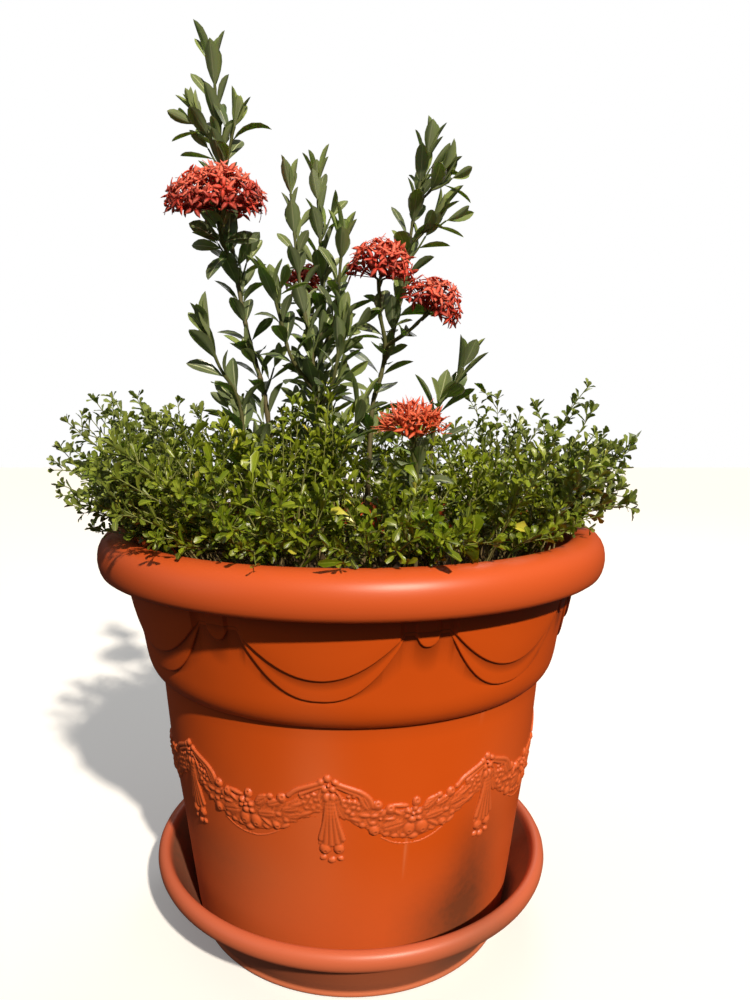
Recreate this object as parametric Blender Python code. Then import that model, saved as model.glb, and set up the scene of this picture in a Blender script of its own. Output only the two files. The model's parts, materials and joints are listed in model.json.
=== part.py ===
"""Potted ixora: a flowering shrub in its moulded planter, on a saucer.

Metres, +Z up. The origin is the centre of the saucer's underside, where the part rests, and -Y is the
front. The pot and the saucer are turned profiles with raised ornament. Every plant is one closed body
that grows out of its own faces: a stem is extruded ring by ring, and leaves, branches and petals are
extruded from the small faces at its nodes. A leaf that would cross something is turned, then left out.
"""

import math
import random

import bmesh
import bpy
from mathutils import Matrix, Vector
from mathutils.bvhtree import BVHTree

# ---------------------------------------------------------------- driving dimensions
GAP = 0.0003                    # clearance between neighbouring solids
RIM_RADIUS = 0.250              # the pot's widest place
RIM_HEIGHT = 0.4035             # top of the rolled rim
WALL = 0.0042                   # the pot's wall
COLLAR_TOP = (0.2201, 0.3635)   # radius and height of the collar just under the rim
COLLAR_FOOT = (0.2068, 0.2900)
COLLAR_SHOULDER = (0.1990, 0.2730)   # the collar rounds inwards here to meet the body
BODY_TOP = (0.1920, 0.2645)
BODY_FOOT = (0.1625, 0.0220)
POT_FLOOR = 0.0120              # top of the pot's floor
SAUCER_RADIUS = 0.2030
SAUCER_HEIGHT = 0.0745
SAUCER_FLOOR = 0.0080
SOIL_TOP = 0.3600
HOLE_DEPTH = 0.0400             # how deep the plain holes for the stems go into the soil
HOLE_CLEAR = 0.0200             # how far a hole's cutter stands out of the soil
HOLE_SLACK = 0.0007             # radial room round a stem in its hole
HOLE_SIDES = 6

PITCHES = 8                     # swags, bows and garlands round the pot
BOW_AZIMUTH = -6.6              # degrees from the front, towards +X
BOW_COLUMNS = (-4.8, -2.4, 0.0, 2.4, 4.8, 12.0, 18.6, 26.4, 33.0)
SWAG_HALF_ANGLE = 17.3
SWAG_STEP = 0.0022              # how far each layer of a swag stands out
GARLAND_PROUD = 0.0046
TASSEL_PROUD = 0.0040

SAUCER_SIDES = 44
SOIL_SIDES = 24

LEAF_PITCH = 0.0215             # distance between leaf pairs along an ixora stem
LEAF_LENGTH = 0.050
LEAF_WIDTH = 0.0195
YOUNG_LEAF = (0.036, 0.012)     # length and width of the upright leaf that ends a shoot
RIB_THICKNESS = 0.0016
NODE_BAND = 0.0030              # height of the short faces that leaves grow from
CLEARANCE = 0.0006              # room kept round each leaf when it is tested
LEAST_SQUARENESS = 0.35         # how squarely a blade leaves the face it grows from, 1 is straight out
STALK_SHARE = 0.09              # where the test of a leaf starts, between its root and its widest place

# ---------------------------------------------------------------- materials
MATERIALS = {
    "pot_plastic": ((0.62, 0.13, 0.025), 0.42),
    "saucer_plastic": ((0.50, 0.13, 0.045), 0.45),
    "soil": ((0.045, 0.028, 0.018), 0.95),
    "ixora_leaf": ((0.050, 0.115, 0.020), 0.38),
    "ixora_flower": ((0.78, 0.060, 0.018), 0.55),
    "bush_leaf": ((0.090, 0.190, 0.025), 0.50),
}


def material(name):
    """One Principled material, made once."""
    made = bpy.data.materials.get(name)
    if made:
        return made
    colour, roughness = MATERIALS[name]
    made = bpy.data.materials.new(name)
    made.use_nodes = True
    shader = made.node_tree.nodes["Principled BSDF"]
    shader.inputs["Base Color"].default_value = (*colour, 1.0)
    shader.inputs["Roughness"].default_value = roughness
    made.diffuse_color = (*colour, 1.0)
    return made


def clear_scene():
    for item in list(bpy.data.objects):
        bpy.data.objects.remove(item, do_unlink=True)


def add_object(name, mesh_data, slot, smooth_angle=40.0):
    """Wraps a bmesh as a named object with its material."""
    mesh = bpy.data.meshes.new(name)
    mesh_data.to_mesh(mesh)
    mesh_data.free()
    mesh.materials.append(material(slot))
    mesh.shade_smooth()
    mesh.set_sharp_from_angle(angle=math.radians(smooth_angle))
    made = bpy.data.objects.new(name, mesh)
    bpy.context.scene.collection.objects.link(made)
    return made


# ---------------------------------------------------------------- turned shapes
def around(azimuth, radius, height):
    """A point at an azimuth in degrees from the front (-Y) towards +X."""
    turn = math.radians(azimuth)
    return Vector((radius * math.sin(turn), -radius * math.cos(turn), height))


def lathe(rings):
    """A closed body from rings of points, lowest outer ring first, with both ends closed by a fan."""
    body = bmesh.new()
    rows = [[body.verts.new(point) for point in ring] for ring in rings]
    count = len(rows[0])
    for lower, upper in zip(rows, rows[1:]):
        for i in range(count):
            j = (i + 1) % count
            body.faces.new((lower[i], lower[j], upper[j], upper[i]))
    for row, flipped in ((rows[0], True), (rows[-1], False)):
        middle = sum((vert.co for vert in row), Vector()) / count
        centre = body.verts.new(middle)
        for i in range(count):
            j = (i + 1) % count
            body.faces.new((row[j], row[i], centre) if flipped else (row[i], row[j], centre))
    return body


def between(profile, height):
    """The radius of a straight-sided profile, given as (radius, height) pairs, at a height."""
    for (r0, z0), (r1, z1) in zip(profile, profile[1:]):
        if z0 <= height <= z1:
            return r0 + (r1 - r0) * (height - z0) / (z1 - z0)
    return profile[0][0] if height < profile[0][1] else profile[-1][0]


# ---------------------------------------------------------------- the pot
POT_SIDE = (BODY_FOOT, (0.1765, 0.1310), (0.1850, 0.1870), BODY_TOP,
            COLLAR_SHOULDER, COLLAR_FOOT, (0.2092, 0.3050), COLLAR_TOP)
POT_RIM = ((0.2455, 0.3670), (RIM_RADIUS, 0.3830), (0.2425, 0.3990), (0.2300, RIM_HEIGHT),
           (0.2170, 0.3970))
POT_INSIDE = ((0.2115, 0.3750), (COLLAR_FOOT[0] - WALL, 0.2930), (BODY_TOP[0] - WALL, 0.2670),
              (0.1530, POT_FLOOR))


def from_bow(azimuth):
    """Degrees to the nearest bow, from -22.5 to 22.5."""
    pitch = 360.0 / PITCHES
    return (azimuth - BOW_AZIMUTH + pitch / 2) % pitch - pitch / 2


def swag_rows(azimuth):
    """The collar's rows: (height, how far it stands out) up the two nested arcs of a swag."""
    turn = abs(from_bow(azimuth))
    rise = min(turn / SWAG_HALF_ANGLE, 1.0)
    outer = 0.2925 + 0.0515 * rise ** 2.4
    inner = 0.311 + 0.035 * rise ** 2.0
    proud = SWAG_STEP
    if turn > SWAG_HALF_ANGLE:                      # the small drop between two swags
        proud = SWAG_STEP if turn > 20.0 else 0.0
        outer = 0.337 if proud else 0.344
        inner = 0.348
    inner_proud = 2 * SWAG_STEP if turn < SWAG_HALF_ANGLE - 1.0 else proud
    return ((outer, 0.0), (outer + 0.0025, proud), (inner + 0.001, proud), (inner + 0.0035, inner_proud))


def garland_rows(azimuth, lumps):
    """The garland's rows: a sagging bunch of fruit between two bows."""
    turn = abs(from_bow(azimuth))
    share = turn / (180.0 / PITCHES)
    middle = 0.200 - 0.0270 * math.sin(share * math.pi / 2) ** 1.15
    half = 0.0125 + 0.0065 * share
    if turn < 3.0:
        half = 0.0205 if turn < 1.0 else 0.0165
    proud = GARLAND_PROUD * (0.75 + 0.45 * lumps.random())
    upper = GARLAND_PROUD * (0.75 + 0.45 * lumps.random())
    return ((middle - half, 0.0), (middle - half * 0.55, proud), (middle + half * 0.50, upper),
            (middle + half, 0.0))


def tassel_rows(azimuth):
    """The rows under the garland: a tassel hangs from each bow and flares to its fruits."""
    turn = abs(from_bow(azimuth))
    if turn < 1.0:
        return (0.1330, 0.0), (0.1420, TASSEL_PROUD)
    if turn < 3.0:
        return (0.1350, 0.0), (0.1430, TASSEL_PROUD * 0.9)
    return (0.1300, 0.0), (0.1430, 0.0)


def pot_columns():
    pitch = 360.0 / PITCHES
    return [BOW_AZIMUTH + k * pitch + offset for k in range(PITCHES) for offset in BOW_COLUMNS]


def build_pot():
    lumps = random.Random(11)
    columns = pot_columns()
    profiles = []
    for azimuth in columns:
        column = [(0.1520, SAUCER_FLOOR + GAP), BODY_FOOT]
        relief = (*tassel_rows(azimuth), *garland_rows(azimuth, lumps))
        column += [(between(POT_SIDE, z) + proud, z) for z, proud in relief]
        column += [BODY_TOP, COLLAR_SHOULDER, COLLAR_FOOT]
        column += [(between(POT_SIDE, z) + proud, z) for z, proud in swag_rows(azimuth)]
        column += [COLLAR_TOP, *POT_RIM, *POT_INSIDE]
        profiles.append([around(azimuth, radius, height) for radius, height in column])
    return add_object("pot", lathe(list(zip(*profiles))), "pot_plastic", 20.0)


# ---------------------------------------------------------------- the saucer
SAUCER_PROFILE = ((0.1520, 0.0), (0.1600, 0.0040), (0.1915, 0.0560), (0.2000, 0.0575),
                  (SAUCER_RADIUS, 0.0660), (0.1985, 0.0735), (0.1900, SAUCER_HEIGHT), (0.1850, 0.0680),
                  (0.1585, 0.0110), (0.1545, SAUCER_FLOOR))


def build_saucer():
    step = 360.0 / SAUCER_SIDES
    rings = [[around(k * step, radius, height) for k in range(SAUCER_SIDES)]
             for radius, height in SAUCER_PROFILE]
    return add_object("saucer", lathe(rings), "saucer_plastic")


# ---------------------------------------------------------------- the soil
def soil_surface(radius, azimuth):
    """The soil lies a little higher towards the middle, with a slow wave."""
    return SOIL_TOP + 0.004 * (1 - radius / 0.21) + 0.0012 * math.sin(math.radians(3 * azimuth + 40))


def build_soil(holes):
    """The filling of the pot, with a plain round hole for each stem."""
    step = 360.0 / SOIL_SIDES
    inscribed = math.cos(math.radians(4.0))         # the pot's inside is a polygon
    edge = between(tuple(reversed(POT_INSIDE)), SOIL_TOP - 0.004)
    side = [(0.1530, POT_FLOOR + GAP), (POT_INSIDE[2][0], POT_INSIDE[2][1]),
            (POT_INSIDE[1][0], POT_INSIDE[1][1]), (edge, SOIL_TOP - 0.004)]
    rings = [[around(k * step, radius * inscribed - GAP, height) for k in range(SOIL_SIDES)]
             for radius, height in side]
    for radius in (0.165, 0.085):
        rings.append([around(k * step, radius, soil_surface(radius, k * step)) for k in range(SOIL_SIDES)])
    soil = add_object("soil", lathe(rings), "soil")
    cutters = bpy.data.collections.new("soil_holes")
    for number, (place, radius) in enumerate(holes):
        cutter = bmesh.new()
        radius = radius / math.cos(math.pi / HOLE_SIDES)
        middle = Vector((place.x, place.y, SOIL_TOP + (HOLE_CLEAR - HOLE_DEPTH) / 2))
        bmesh.ops.create_cone(cutter, cap_ends=True, segments=HOLE_SIDES, radius1=radius, radius2=radius,
                              depth=HOLE_DEPTH + HOLE_CLEAR, matrix=Matrix.Translation(middle))
        cutters.objects.link(add_object(f"hole_{number:02d}", cutter, "soil"))
    cut = soil.modifiers.new("holes", "BOOLEAN")
    cut.operation = "DIFFERENCE"
    cut.operand_type = "COLLECTION"
    cut.collection = cutters
    apply_modifiers(soil)
    for cutter in list(cutters.objects):
        bpy.data.objects.remove(cutter, do_unlink=True)
    bpy.data.collections.remove(cutters)
    return soil


def apply_modifiers(item):
    """Replaces an object's mesh by the evaluated one and drops its modifiers."""
    graph = bpy.context.evaluated_depsgraph_get()
    finished = bpy.data.meshes.new_from_object(item.evaluated_get(graph))
    item.modifiers.clear()
    item.data = finished


# ---------------------------------------------------------------- growing a closed body
def corners(face):
    return [vert.co.copy() for vert in face.verts]


def match(first, ring):
    """The ring turned so that its points lie nearest to the first ring's, and by how many places."""
    count = len(ring)
    turns = [[ring[(i + shift) % count] for i in range(count)] for shift in range(count)]
    costs = [sum((a - b).length_squared for a, b in zip(first, turn)) for turn in turns]
    shift = costs.index(min(costs))
    return turns[shift], shift


def grow(body, face, ring):
    """Extrudes a face to a ring of points. Returns the new end face and the side faces."""
    old = list(face.verts)
    ring, _ = match(corners(face), ring)
    count = len(old)
    body.faces.remove(face)
    new = [body.verts.new(point) for point in ring]
    sides = [body.faces.new((old[i], old[(i + 1) % count], new[(i + 1) % count], new[i]))
             for i in range(count)]
    end = body.faces.new(new)
    for side in (*sides, end):
        side.normal_update()
    return end, sides


def grow_blade(body, face, rings, tip):
    """Extrudes a thin blade whose two sides are split alike, from rib to edge, and closes it in a tip."""
    for points in rings:
        old = list(face.verts)
        ring, shift = match(corners(face), points)
        count = len(old)
        body.faces.remove(face)
        new = [body.verts.new(point) for point in ring]
        for i in range(count):
            j = (i + 1) % count
            if (i + shift) % 2 == 0:
                body.faces.new((old[i], old[j], new[j]))
                body.faces.new((old[i], new[j], new[i]))
            else:
                body.faces.new((old[i], old[j], new[i]))
                body.faces.new((old[j], new[j], new[i]))
        face = body.faces.new(new)
    close_tip(body, face, tip)


def close_tip(body, face, tip):
    old = list(face.verts)
    body.faces.remove(face)
    end = body.verts.new(tip)
    for i, vert in enumerate(old):
        body.faces.new((vert, old[(i + 1) % len(old)], end))


def frame_of(direction, up):
    """Unit vectors (along, across, above) with above as near to up as it can be."""
    along = direction.normalized()
    across = along.cross(up)
    if across.length < 1e-4:
        across = along.cross(Vector((0.31, 0.95, 0.05)))
    across.normalize()
    return along, across, across.cross(along)


def tube_ring(centre, along, across, radius, sides):
    """Points round a stem, anticlockwise seen against its direction."""
    above = across.cross(along)
    points = []
    for i in range(sides):
        turn = math.tau * (i + 0.5) / sides
        points.append(centre - radius * (math.cos(turn) * across - math.sin(turn) * above))
    return points


def smooth_path(points, step):
    """Points about a step apart along a Catmull-Rom curve through the given ones."""
    points = [Vector(point) for point in points]
    ends = [2 * points[0] - points[1], *points, 2 * points[-1] - points[-2]]
    path = [points[0]]
    for a, b, c, d in zip(ends, ends[1:], ends[2:], ends[3:]):
        count = max(1, round((c - b).length / step))
        for k in range(1, count + 1):
            t = k / count
            path.append(0.5 * (2 * b + (c - a) * t + (2 * a - 5 * b + 4 * c - d) * t ** 2
                               + (3 * b - a - 3 * c + d) * t ** 3))
    return path


def walk(path, pitch):
    """Places a pitch apart along a path, from its start, with the direction at each."""
    places = [(path[0], (path[1] - path[0]).normalized())]
    run = 0.0
    for here, there in zip(path, path[1:]):
        length = (there - here).length
        while run + length >= pitch:
            share = (pitch - run) / length
            here = here.lerp(there, share)
            length = (there - here).length
            places.append((here.copy(), (there - here).normalized() if length > 1e-6 else places[-1][1]))
            run = 0.0
        run += length
    if run > pitch * 0.45:
        places.append((path[-1], places[-1][1]))
    return places


# ---------------------------------------------------------------- keeping clear
class Clearance:
    """What has been placed so far, each piece with its own search tree and the ball that holds it."""

    def __init__(self):
        self.pieces = []

    def add(self, points, faces):
        middle = sum(points, Vector()) / len(points)
        reach = max((point - middle).length for point in points)
        self.pieces.append((middle, reach, BVHTree.FromPolygons(points, faces)))

    def add_body(self, body, cell=0.05):
        """A whole body, cut into cells so that few faces are searched."""
        body.faces.ensure_lookup_table()
        cells = {}
        for face in body.faces:
            key = tuple(math.floor(c / cell) for c in face.calc_center_median())
            cells.setdefault(key, []).append([vert.co.copy() for vert in face.verts])
        for corners in cells.values():
            points = [point for loop in corners for point in loop]
            faces = []
            start = 0
            for loop in corners:
                faces.append(tuple(range(start, start + len(loop))))
                start += len(loop)
            self.add(points, faces)

    def free(self, points, faces):
        middle = sum(points, Vector()) / len(points)
        reach = max((point - middle).length for point in points)
        near = [tree for centre, size, tree in self.pieces if (centre - middle).length < size + reach]
        if not near:
            return True
        own = BVHTree.FromPolygons(points, faces)
        return not any(tree.overlap(own) for tree in near)


def tested_shape(rings, tip, swell):
    """The closed shape that stands for a blade in a test: its rings, swollen, and its tip."""
    points = []
    for ring in rings:
        middle = sum(ring, Vector()) / len(ring)
        points += [point + (point - middle).normalized() * swell for point in ring]
    count = len(rings[0])
    faces = [tuple(reversed(range(count)))]
    for row in range(len(rings) - 1):
        for i in range(count):
            j = (i + 1) % count
            faces.append((row * count + i, row * count + j, (row + 1) * count + j, (row + 1) * count + i))
    last = (len(rings) - 1) * count
    middle = sum(rings[-1], Vector()) / count
    points.append(tip + (tip - middle).normalized() * swell)
    faces += [(last + i, last + (i + 1) % count, len(points) - 1) for i in range(count)]
    return points, faces


# ---------------------------------------------------------------- ixora leaves
def ixora_blade(root, direction, up, length, width, droop, fold):
    """Rings and tip of an elliptic leaf: folded along its rib and arched towards its tip."""
    along, across, above = frame_of(direction, up)
    rings = []
    for share, part in ((0.38, 1.0), (0.76, 0.74)):
        bend = droop * length * share ** 2
        middle = root + along * length * share - above * bend
        half = width / 2 * part
        lift = above * half * fold
        thick = RIB_THICKNESS * (0.45 + 0.55 * part)
        rings.append([middle - across * half + lift, middle,
                      middle + across * half + lift, middle - above * thick])
    return rings, root + along * length - above * droop * length


def try_leaf(body, face, space, maker, direction, attempts, luck):
    """Grows a blade from a face, turning it a little each time something is in its way."""
    root = face.calc_center_median()
    for attempt in range(attempts):
        wobble = Vector((luck.uniform(-1, 1), luck.uniform(-1, 1), luck.uniform(-0.6, 1)))
        aim = (direction.normalized() + wobble * 0.22 * attempt).normalized()
        if aim.dot(face.normal) < LEAST_SQUARENESS:
            continue
        rings, tip = maker(root, aim, 1.0 - 0.06 * attempt)
        stalk = [root.lerp(point, STALK_SHARE) for point in rings[0]]
        if space.free(*tested_shape([stalk, *rings], tip, CLEARANCE)):
            grow_blade(body, face, rings, tip)
            space.add(*tested_shape([[root] * len(stalk), *rings], tip, 0.0))
            return True
    return False


# Each shoot: its points, the radius at its foot and at its tip, and the height its leaves start at.
# A shoot that starts with the name of another grows from that one's nearest side.
SHOOTS = {
    "ixora_tall": [
        ("tall", None, ((-0.062, 0.012, 0.3600), (-0.080, 0.018, 0.450), (-0.089, 0.020, 0.528),
                        (-0.104, 0.028, 0.583), (-0.114, 0.032, 0.628), (-0.124, 0.040, 0.691),
                        (-0.133, 0.036, 0.782), (-0.137, 0.026, 0.862)), 0.0042, 0.0016, 0.515),
        ("bloom_a", "tall", ((-0.124, 0.030, 0.6650), (-0.127, -0.004, 0.684), (-0.128, -0.018, 0.7010)),
         0.0021, 0.0019, 0.70),
    ],
    "ixora_left": [
        ("left", None, ((-0.100, -0.020, 0.3600), (-0.104, -0.028, 0.460), (-0.108, -0.032, 0.523),
                        (-0.124, -0.048, 0.558), (-0.132, -0.056, 0.589), (-0.136, -0.058, 0.614)),
         0.0032, 0.0016, 0.500),
    ],
    "ixora_centre": [
        ("centre", None, ((-0.030, 0.010, 0.3600), (-0.033, 0.004, 0.450), (-0.035, 0.000, 0.528),
                          (-0.040, -0.002, 0.578), (-0.050, 0.000, 0.636), (-0.057, 0.000, 0.703),
                          (-0.059, 0.000, 0.728)), 0.0038, 0.0016, 0.520),
        ("fork", "centre", ((-0.037, -0.004, 0.5350), (-0.058, -0.020, 0.568), (-0.067, -0.024, 0.600),
                            (-0.073, -0.030, 0.636), (-0.075, -0.032, 0.655)), 0.0024, 0.0015, 0.545),
        ("low", "centre", ((-0.034, -0.004, 0.5100), (-0.018, -0.028, 0.545), (-0.012, -0.034, 0.575),
                           (-0.009, -0.034, 0.598)), 0.0022, 0.0015, 0.530),
    ],
    "ixora_middle": [
        ("middle", None, ((-0.020, 0.045, 0.3600), (-0.027, 0.036, 0.450), (-0.031, 0.028, 0.528),
                          (-0.031, 0.030, 0.611), (-0.030, 0.030, 0.661), (-0.033, 0.030, 0.711),
                          (-0.034, 0.030, 0.745)), 0.0038, 0.0016, 0.520),
        ("twig", "middle", ((-0.030, 0.028, 0.5750), (-0.016, 0.018, 0.612), (-0.012, 0.008, 0.648),
                            (-0.009, 0.002, 0.678)), 0.0022, 0.0015, 0.592),
    ],
    "ixora_back": [
        ("back", None, ((-0.020, 0.090, 0.3600), (-0.028, 0.084, 0.470), (-0.040, 0.078, 0.560),
                        (-0.047, 0.074, 0.620), (-0.049, 0.072, 0.6410)), 0.0030, 0.0020, 0.505),
        ("rear", "back", ((-0.040, 0.080, 0.5600), (-0.024, 0.104, 0.590), (-0.016, 0.112, 0.625),
                          (-0.014, 0.114, 0.650)), 0.0022, 0.0015, 0.575),
    ],
    "ixora_right": [
        ("right", None, ((0.012, -0.020, 0.3600), (0.017, -0.015, 0.440), (0.021, -0.010, 0.518),
                         (0.029, -0.008, 0.548), (0.034, -0.010, 0.580), (0.028, -0.018, 0.612),
                         (0.027, -0.026, 0.6340)), 0.0040, 0.0020, 0.520),
        ("high", "right", ((0.033, -0.008, 0.5650), (0.045, 0.018, 0.605), (0.055, 0.030, 0.650),
                           (0.062, 0.032, 0.700), (0.070, 0.030, 0.745), (0.077, 0.028, 0.778)),
         0.0026, 0.0015, 0.585),
        ("bloom_c", "right", ((0.034, -0.012, 0.5800), (0.056, -0.022, 0.594), (0.069, -0.028, 0.6060)),
         0.0021, 0.0018, 0.578),
    ],
    "ixora_side": [
        ("side", None, ((0.070, 0.000, 0.3600), (0.078, -0.012, 0.450), (0.085, -0.022, 0.516),
                        (0.096, -0.030, 0.543), (0.105, -0.032, 0.562), (0.110, -0.032, 0.582)),
         0.0030, 0.0015, 0.500),
    ],
    "ixora_front": [
        ("front", None, ((0.059, -0.076, 0.3600), (0.062, -0.090, 0.420), (0.058, -0.108, 0.462),
                         (0.052, -0.118, 0.4850)), 0.0028, 0.0019, 0.430),
    ],
}

# Each bloom: the shoot it ends, the way it faces, its radius, its height and the number of its florets.
BLOOMS = {
    "bloom_tall": ("bloom_a", (0.00, -0.18, 1.0), 0.0550, 0.046, 26),
    "bloom_centre": ("right", (0.04, -0.25, 1.0), 0.0345, 0.036, 20),
    "bloom_right": ("bloom_c", (0.75, -0.20, 0.80), 0.0335, 0.036, 20),
    "bloom_front": ("front", (0.00, -0.30, 1.0), 0.0350, 0.030, 20),
    "bloom_back": ("back", (-0.05, 0.15, 1.0), 0.0300, 0.032, 16),
}
FLORET_PETAL = 0.0098           # from the middle of a floret to the tip of a petal
LOWEST_FLORET = math.radians(112)


class Plant:
    """One rooted stem: its growing body, the faces at its nodes and the ends of its shoots."""

    def __init__(self, name, slot):
        self.name = name
        self.slot = slot
        self.body = bmesh.new()
        self.nodes = {}
        self.ends = {}


def start_prism(body, centre, radius, sides, height):
    """The buried foot of a stem. Returns its top face."""
    along, across, _ = frame_of(Vector((0, 0, 1)), Vector((0, 1, 0)))
    low = [body.verts.new(p) for p in tube_ring(centre, along, across, radius, sides)]
    body.faces.new(list(reversed(low)))
    top = centre + Vector((0, 0, height))
    high = [body.verts.new(p) for p in tube_ring(top, along, across, radius, sides)]
    for i in range(sides):
        body.faces.new((low[i], low[(i + 1) % sides], high[(i + 1) % sides], high[i]))
    return body.faces.new(high)


def grow_shoot(plant, label, face, path, thick, thin, leaf_height, pitch):
    """A stem of square rings: a long stretch, then a short band of node faces, again and again."""
    places = walk(path, pitch)[1:]
    across = None
    nodes = []
    for number, (centre, along) in enumerate(places):
        share = (number + 1) / len(places)
        radius = thick + (thin - thick) * share
        if across is None:
            _, across, _ = frame_of(along, Vector((0.2, 1.0, 0.1)))
        across = (across - along * across.dot(along)).normalized()
        face, _ = grow(plant.body, face, tube_ring(centre, along, across, radius, 4))
        if centre.z > leaf_height:
            band_top = centre + along * NODE_BAND
            face, sides = grow(plant.body, face, tube_ring(band_top, along, across, radius * 0.94, 4))
            nodes.append((sides, along.copy(), share))
    plant.nodes[label] = nodes
    plant.ends[label] = (face, face.calc_center_median(), places[-1][1])


def build_ixora(name, shoots):
    """The stems and forks of one rooted plant, without its leaves."""
    plant = Plant(name, "ixora_leaf")
    for label, parent, points, thick, thin, leaf_height in shoots:
        points = [Vector(point) for point in points]
        if parent is None:
            foot = points[0] - Vector((0, 0, HOLE_DEPTH - GAP))
            face = start_prism(plant.body, foot, thick, 4, HOLE_DEPTH - GAP)
            path = smooth_path(points, 0.006)
        else:
            face = take_node_face(plant, parent, points)
            path = smooth_path([face.calc_center_median(), *points[1:]], 0.006)
        grow_shoot(plant, label, face, path, thick, thin, leaf_height, LEAF_PITCH)
        for bloomed, axis, *_ in BLOOMS.values():
            if bloomed == label:
                seat_for_bloom(plant, label, Vector(axis).normalized(), thin)
    return plant


def seat_for_bloom(plant, label, axis, radius):
    """The flower stalk ends square to the way its bloom faces."""
    face, end, _ = plant.ends[label]
    _, across, _ = frame_of(axis, Vector((0.2, 1.0, 0.1)))
    face, _ = grow(plant.body, face, tube_ring(end + axis * 0.0045, axis, across, radius, 4))
    plant.ends[label] = (face, face.calc_center_median(), axis)


def take_node_face(plant, parent, points):
    """The node face of the parent shoot that a fork leaves from, taken off its list."""
    want = points[0]
    heading = (points[1] - points[0]).normalized()
    best = None
    for sides, _, _ in plant.nodes[parent]:
        for side in filter(None, sides):
            score = (side.calc_center_median() - want).length - 0.006 * side.normal.dot(heading)
            if best is None or score < best[0]:
                best = (score, sides, side)
    _, sides, side = best
    sides[sides.index(side)] = None
    return side


def leaf_ixora(plant, space, luck):
    """Pairs of leaves up every shoot, each pair crosswise to the last, and a small last pair on top."""
    for label, nodes in plant.nodes.items():
        flowering = label in {shoot for shoot, *_ in BLOOMS.values()}
        for number, (sides, along, share) in enumerate(nodes):
            last = number == len(nodes) - 1
            if last and flowering:
                continue
            for side in (sides[number % 2], sides[number % 2 + 2]):
                if side is None:
                    continue
                rise = 0.55 + 1.05 * share ** 2 if not flowering else 0.55
                size = 1.0 - 0.30 * share ** 2 + luck.uniform(-0.10, 0.10)
                droop = 0.22 - 0.20 * share + luck.uniform(-0.05, 0.08)
                outward = side.normal.copy()
                aim = outward + along * rise + Vector((0, 0, 0.15))

                def maker(root, direction, scale, size=size, droop=droop, along=along):
                    return ixora_blade(root, direction, along, LEAF_LENGTH * size * scale,
                                       LEAF_WIDTH * size * scale, droop, 0.30)

                try_leaf(plant.body, side, space, maker, aim, 6, luck)
        if not flowering:
            finish_shoot(plant, label, space, luck)


def finish_shoot(plant, label, space, luck):
    """The youngest leaf stands straight up from the end of its shoot."""
    face, _, along = plant.ends[label]

    def maker(root, direction, scale):
        length, width = (size * scale for size in YOUNG_LEAF)
        return ixora_blade(root, direction, Vector((0.6, -0.8, 0.2)), length, width, 0.02, 0.35)

    if not try_leaf(plant.body, face, space, maker, along, 5, luck):
        close_tip(plant.body, face, face.calc_center_median() + along * 0.004)


# ---------------------------------------------------------------- blooms
def dome_body(centre, axis, radius, height, cuts):
    """A small rounded core of four-sided faces, flat-bottomed over the end of the stem."""
    body = bmesh.new()
    bmesh.ops.create_cube(body, size=2.0)
    bmesh.ops.subdivide_edges(body, edges=body.edges[:], cuts=cuts, use_grid_fill=True)
    along, across, above = frame_of(axis, Vector((0, 1, 0.2)))
    turn = Matrix((across, -above, along)).transposed()
    for vert in body.verts:
        unit = vert.co.normalized()
        vert.co = centre + turn @ Vector((unit.x * radius, unit.y * radius, unit.z * height))
    body.normal_update()
    return body


def grow_floret(body, face, space, target, outward, size, spin):
    """A slim tube out of the core, ending in four pointed petals. Left out if it would cross another."""
    along, across, above = frame_of(outward, Vector((0.1, 0.2, 1.0)))
    turned = (across * math.cos(spin) + above * math.sin(spin)).normalized()
    mouth = tube_ring(target, along, turned, 0.0031, 4)
    top = tube_ring(target + along * 0.0016, along, turned, 0.0029, 4)
    petals = []
    for i in range(4):
        side = (mouth[i] + mouth[(i + 1) % 4]) / 2 - target
        petals.append(target + side.normalized() * size + along * 0.0030 - along * 0.0012 * (i % 2))
    star = [target - along * 0.0022, target + along * 0.0042, *petals]
    star += [(a + b) / 2 * 0.55 + target * 0.45 for a, b in zip(petals, petals[1:] + petals[:1])]
    faces = [(0, 2 + i, 6 + i) for i in range(4)] + [(0, 6 + i, 2 + (i + 1) % 4) for i in range(4)]
    faces += [(1, 6 + i, 2 + i) for i in range(4)] + [(1, 2 + (i + 1) % 4, 6 + i) for i in range(4)]
    base = corners(face)
    mouth, _ = match(base, mouth)
    foot = [start.lerp(end, 0.30) for start, end in zip(base, mouth)]
    tube_end = target + along * 0.001
    if not (space.free(star, faces) and space.free(*tested_shape([foot, mouth], tube_end, 0.0))):
        return False
    space.add(*tested_shape([base, mouth], tube_end, 0.0))
    face, _ = grow(body, face, mouth)
    face, sides = grow(body, face, top)
    for side in sides:
        middle = side.calc_center_median()
        close_tip(body, side, min(petals, key=lambda petal: (petal - middle).length))
    space.add(star, faces)
    return True


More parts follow.
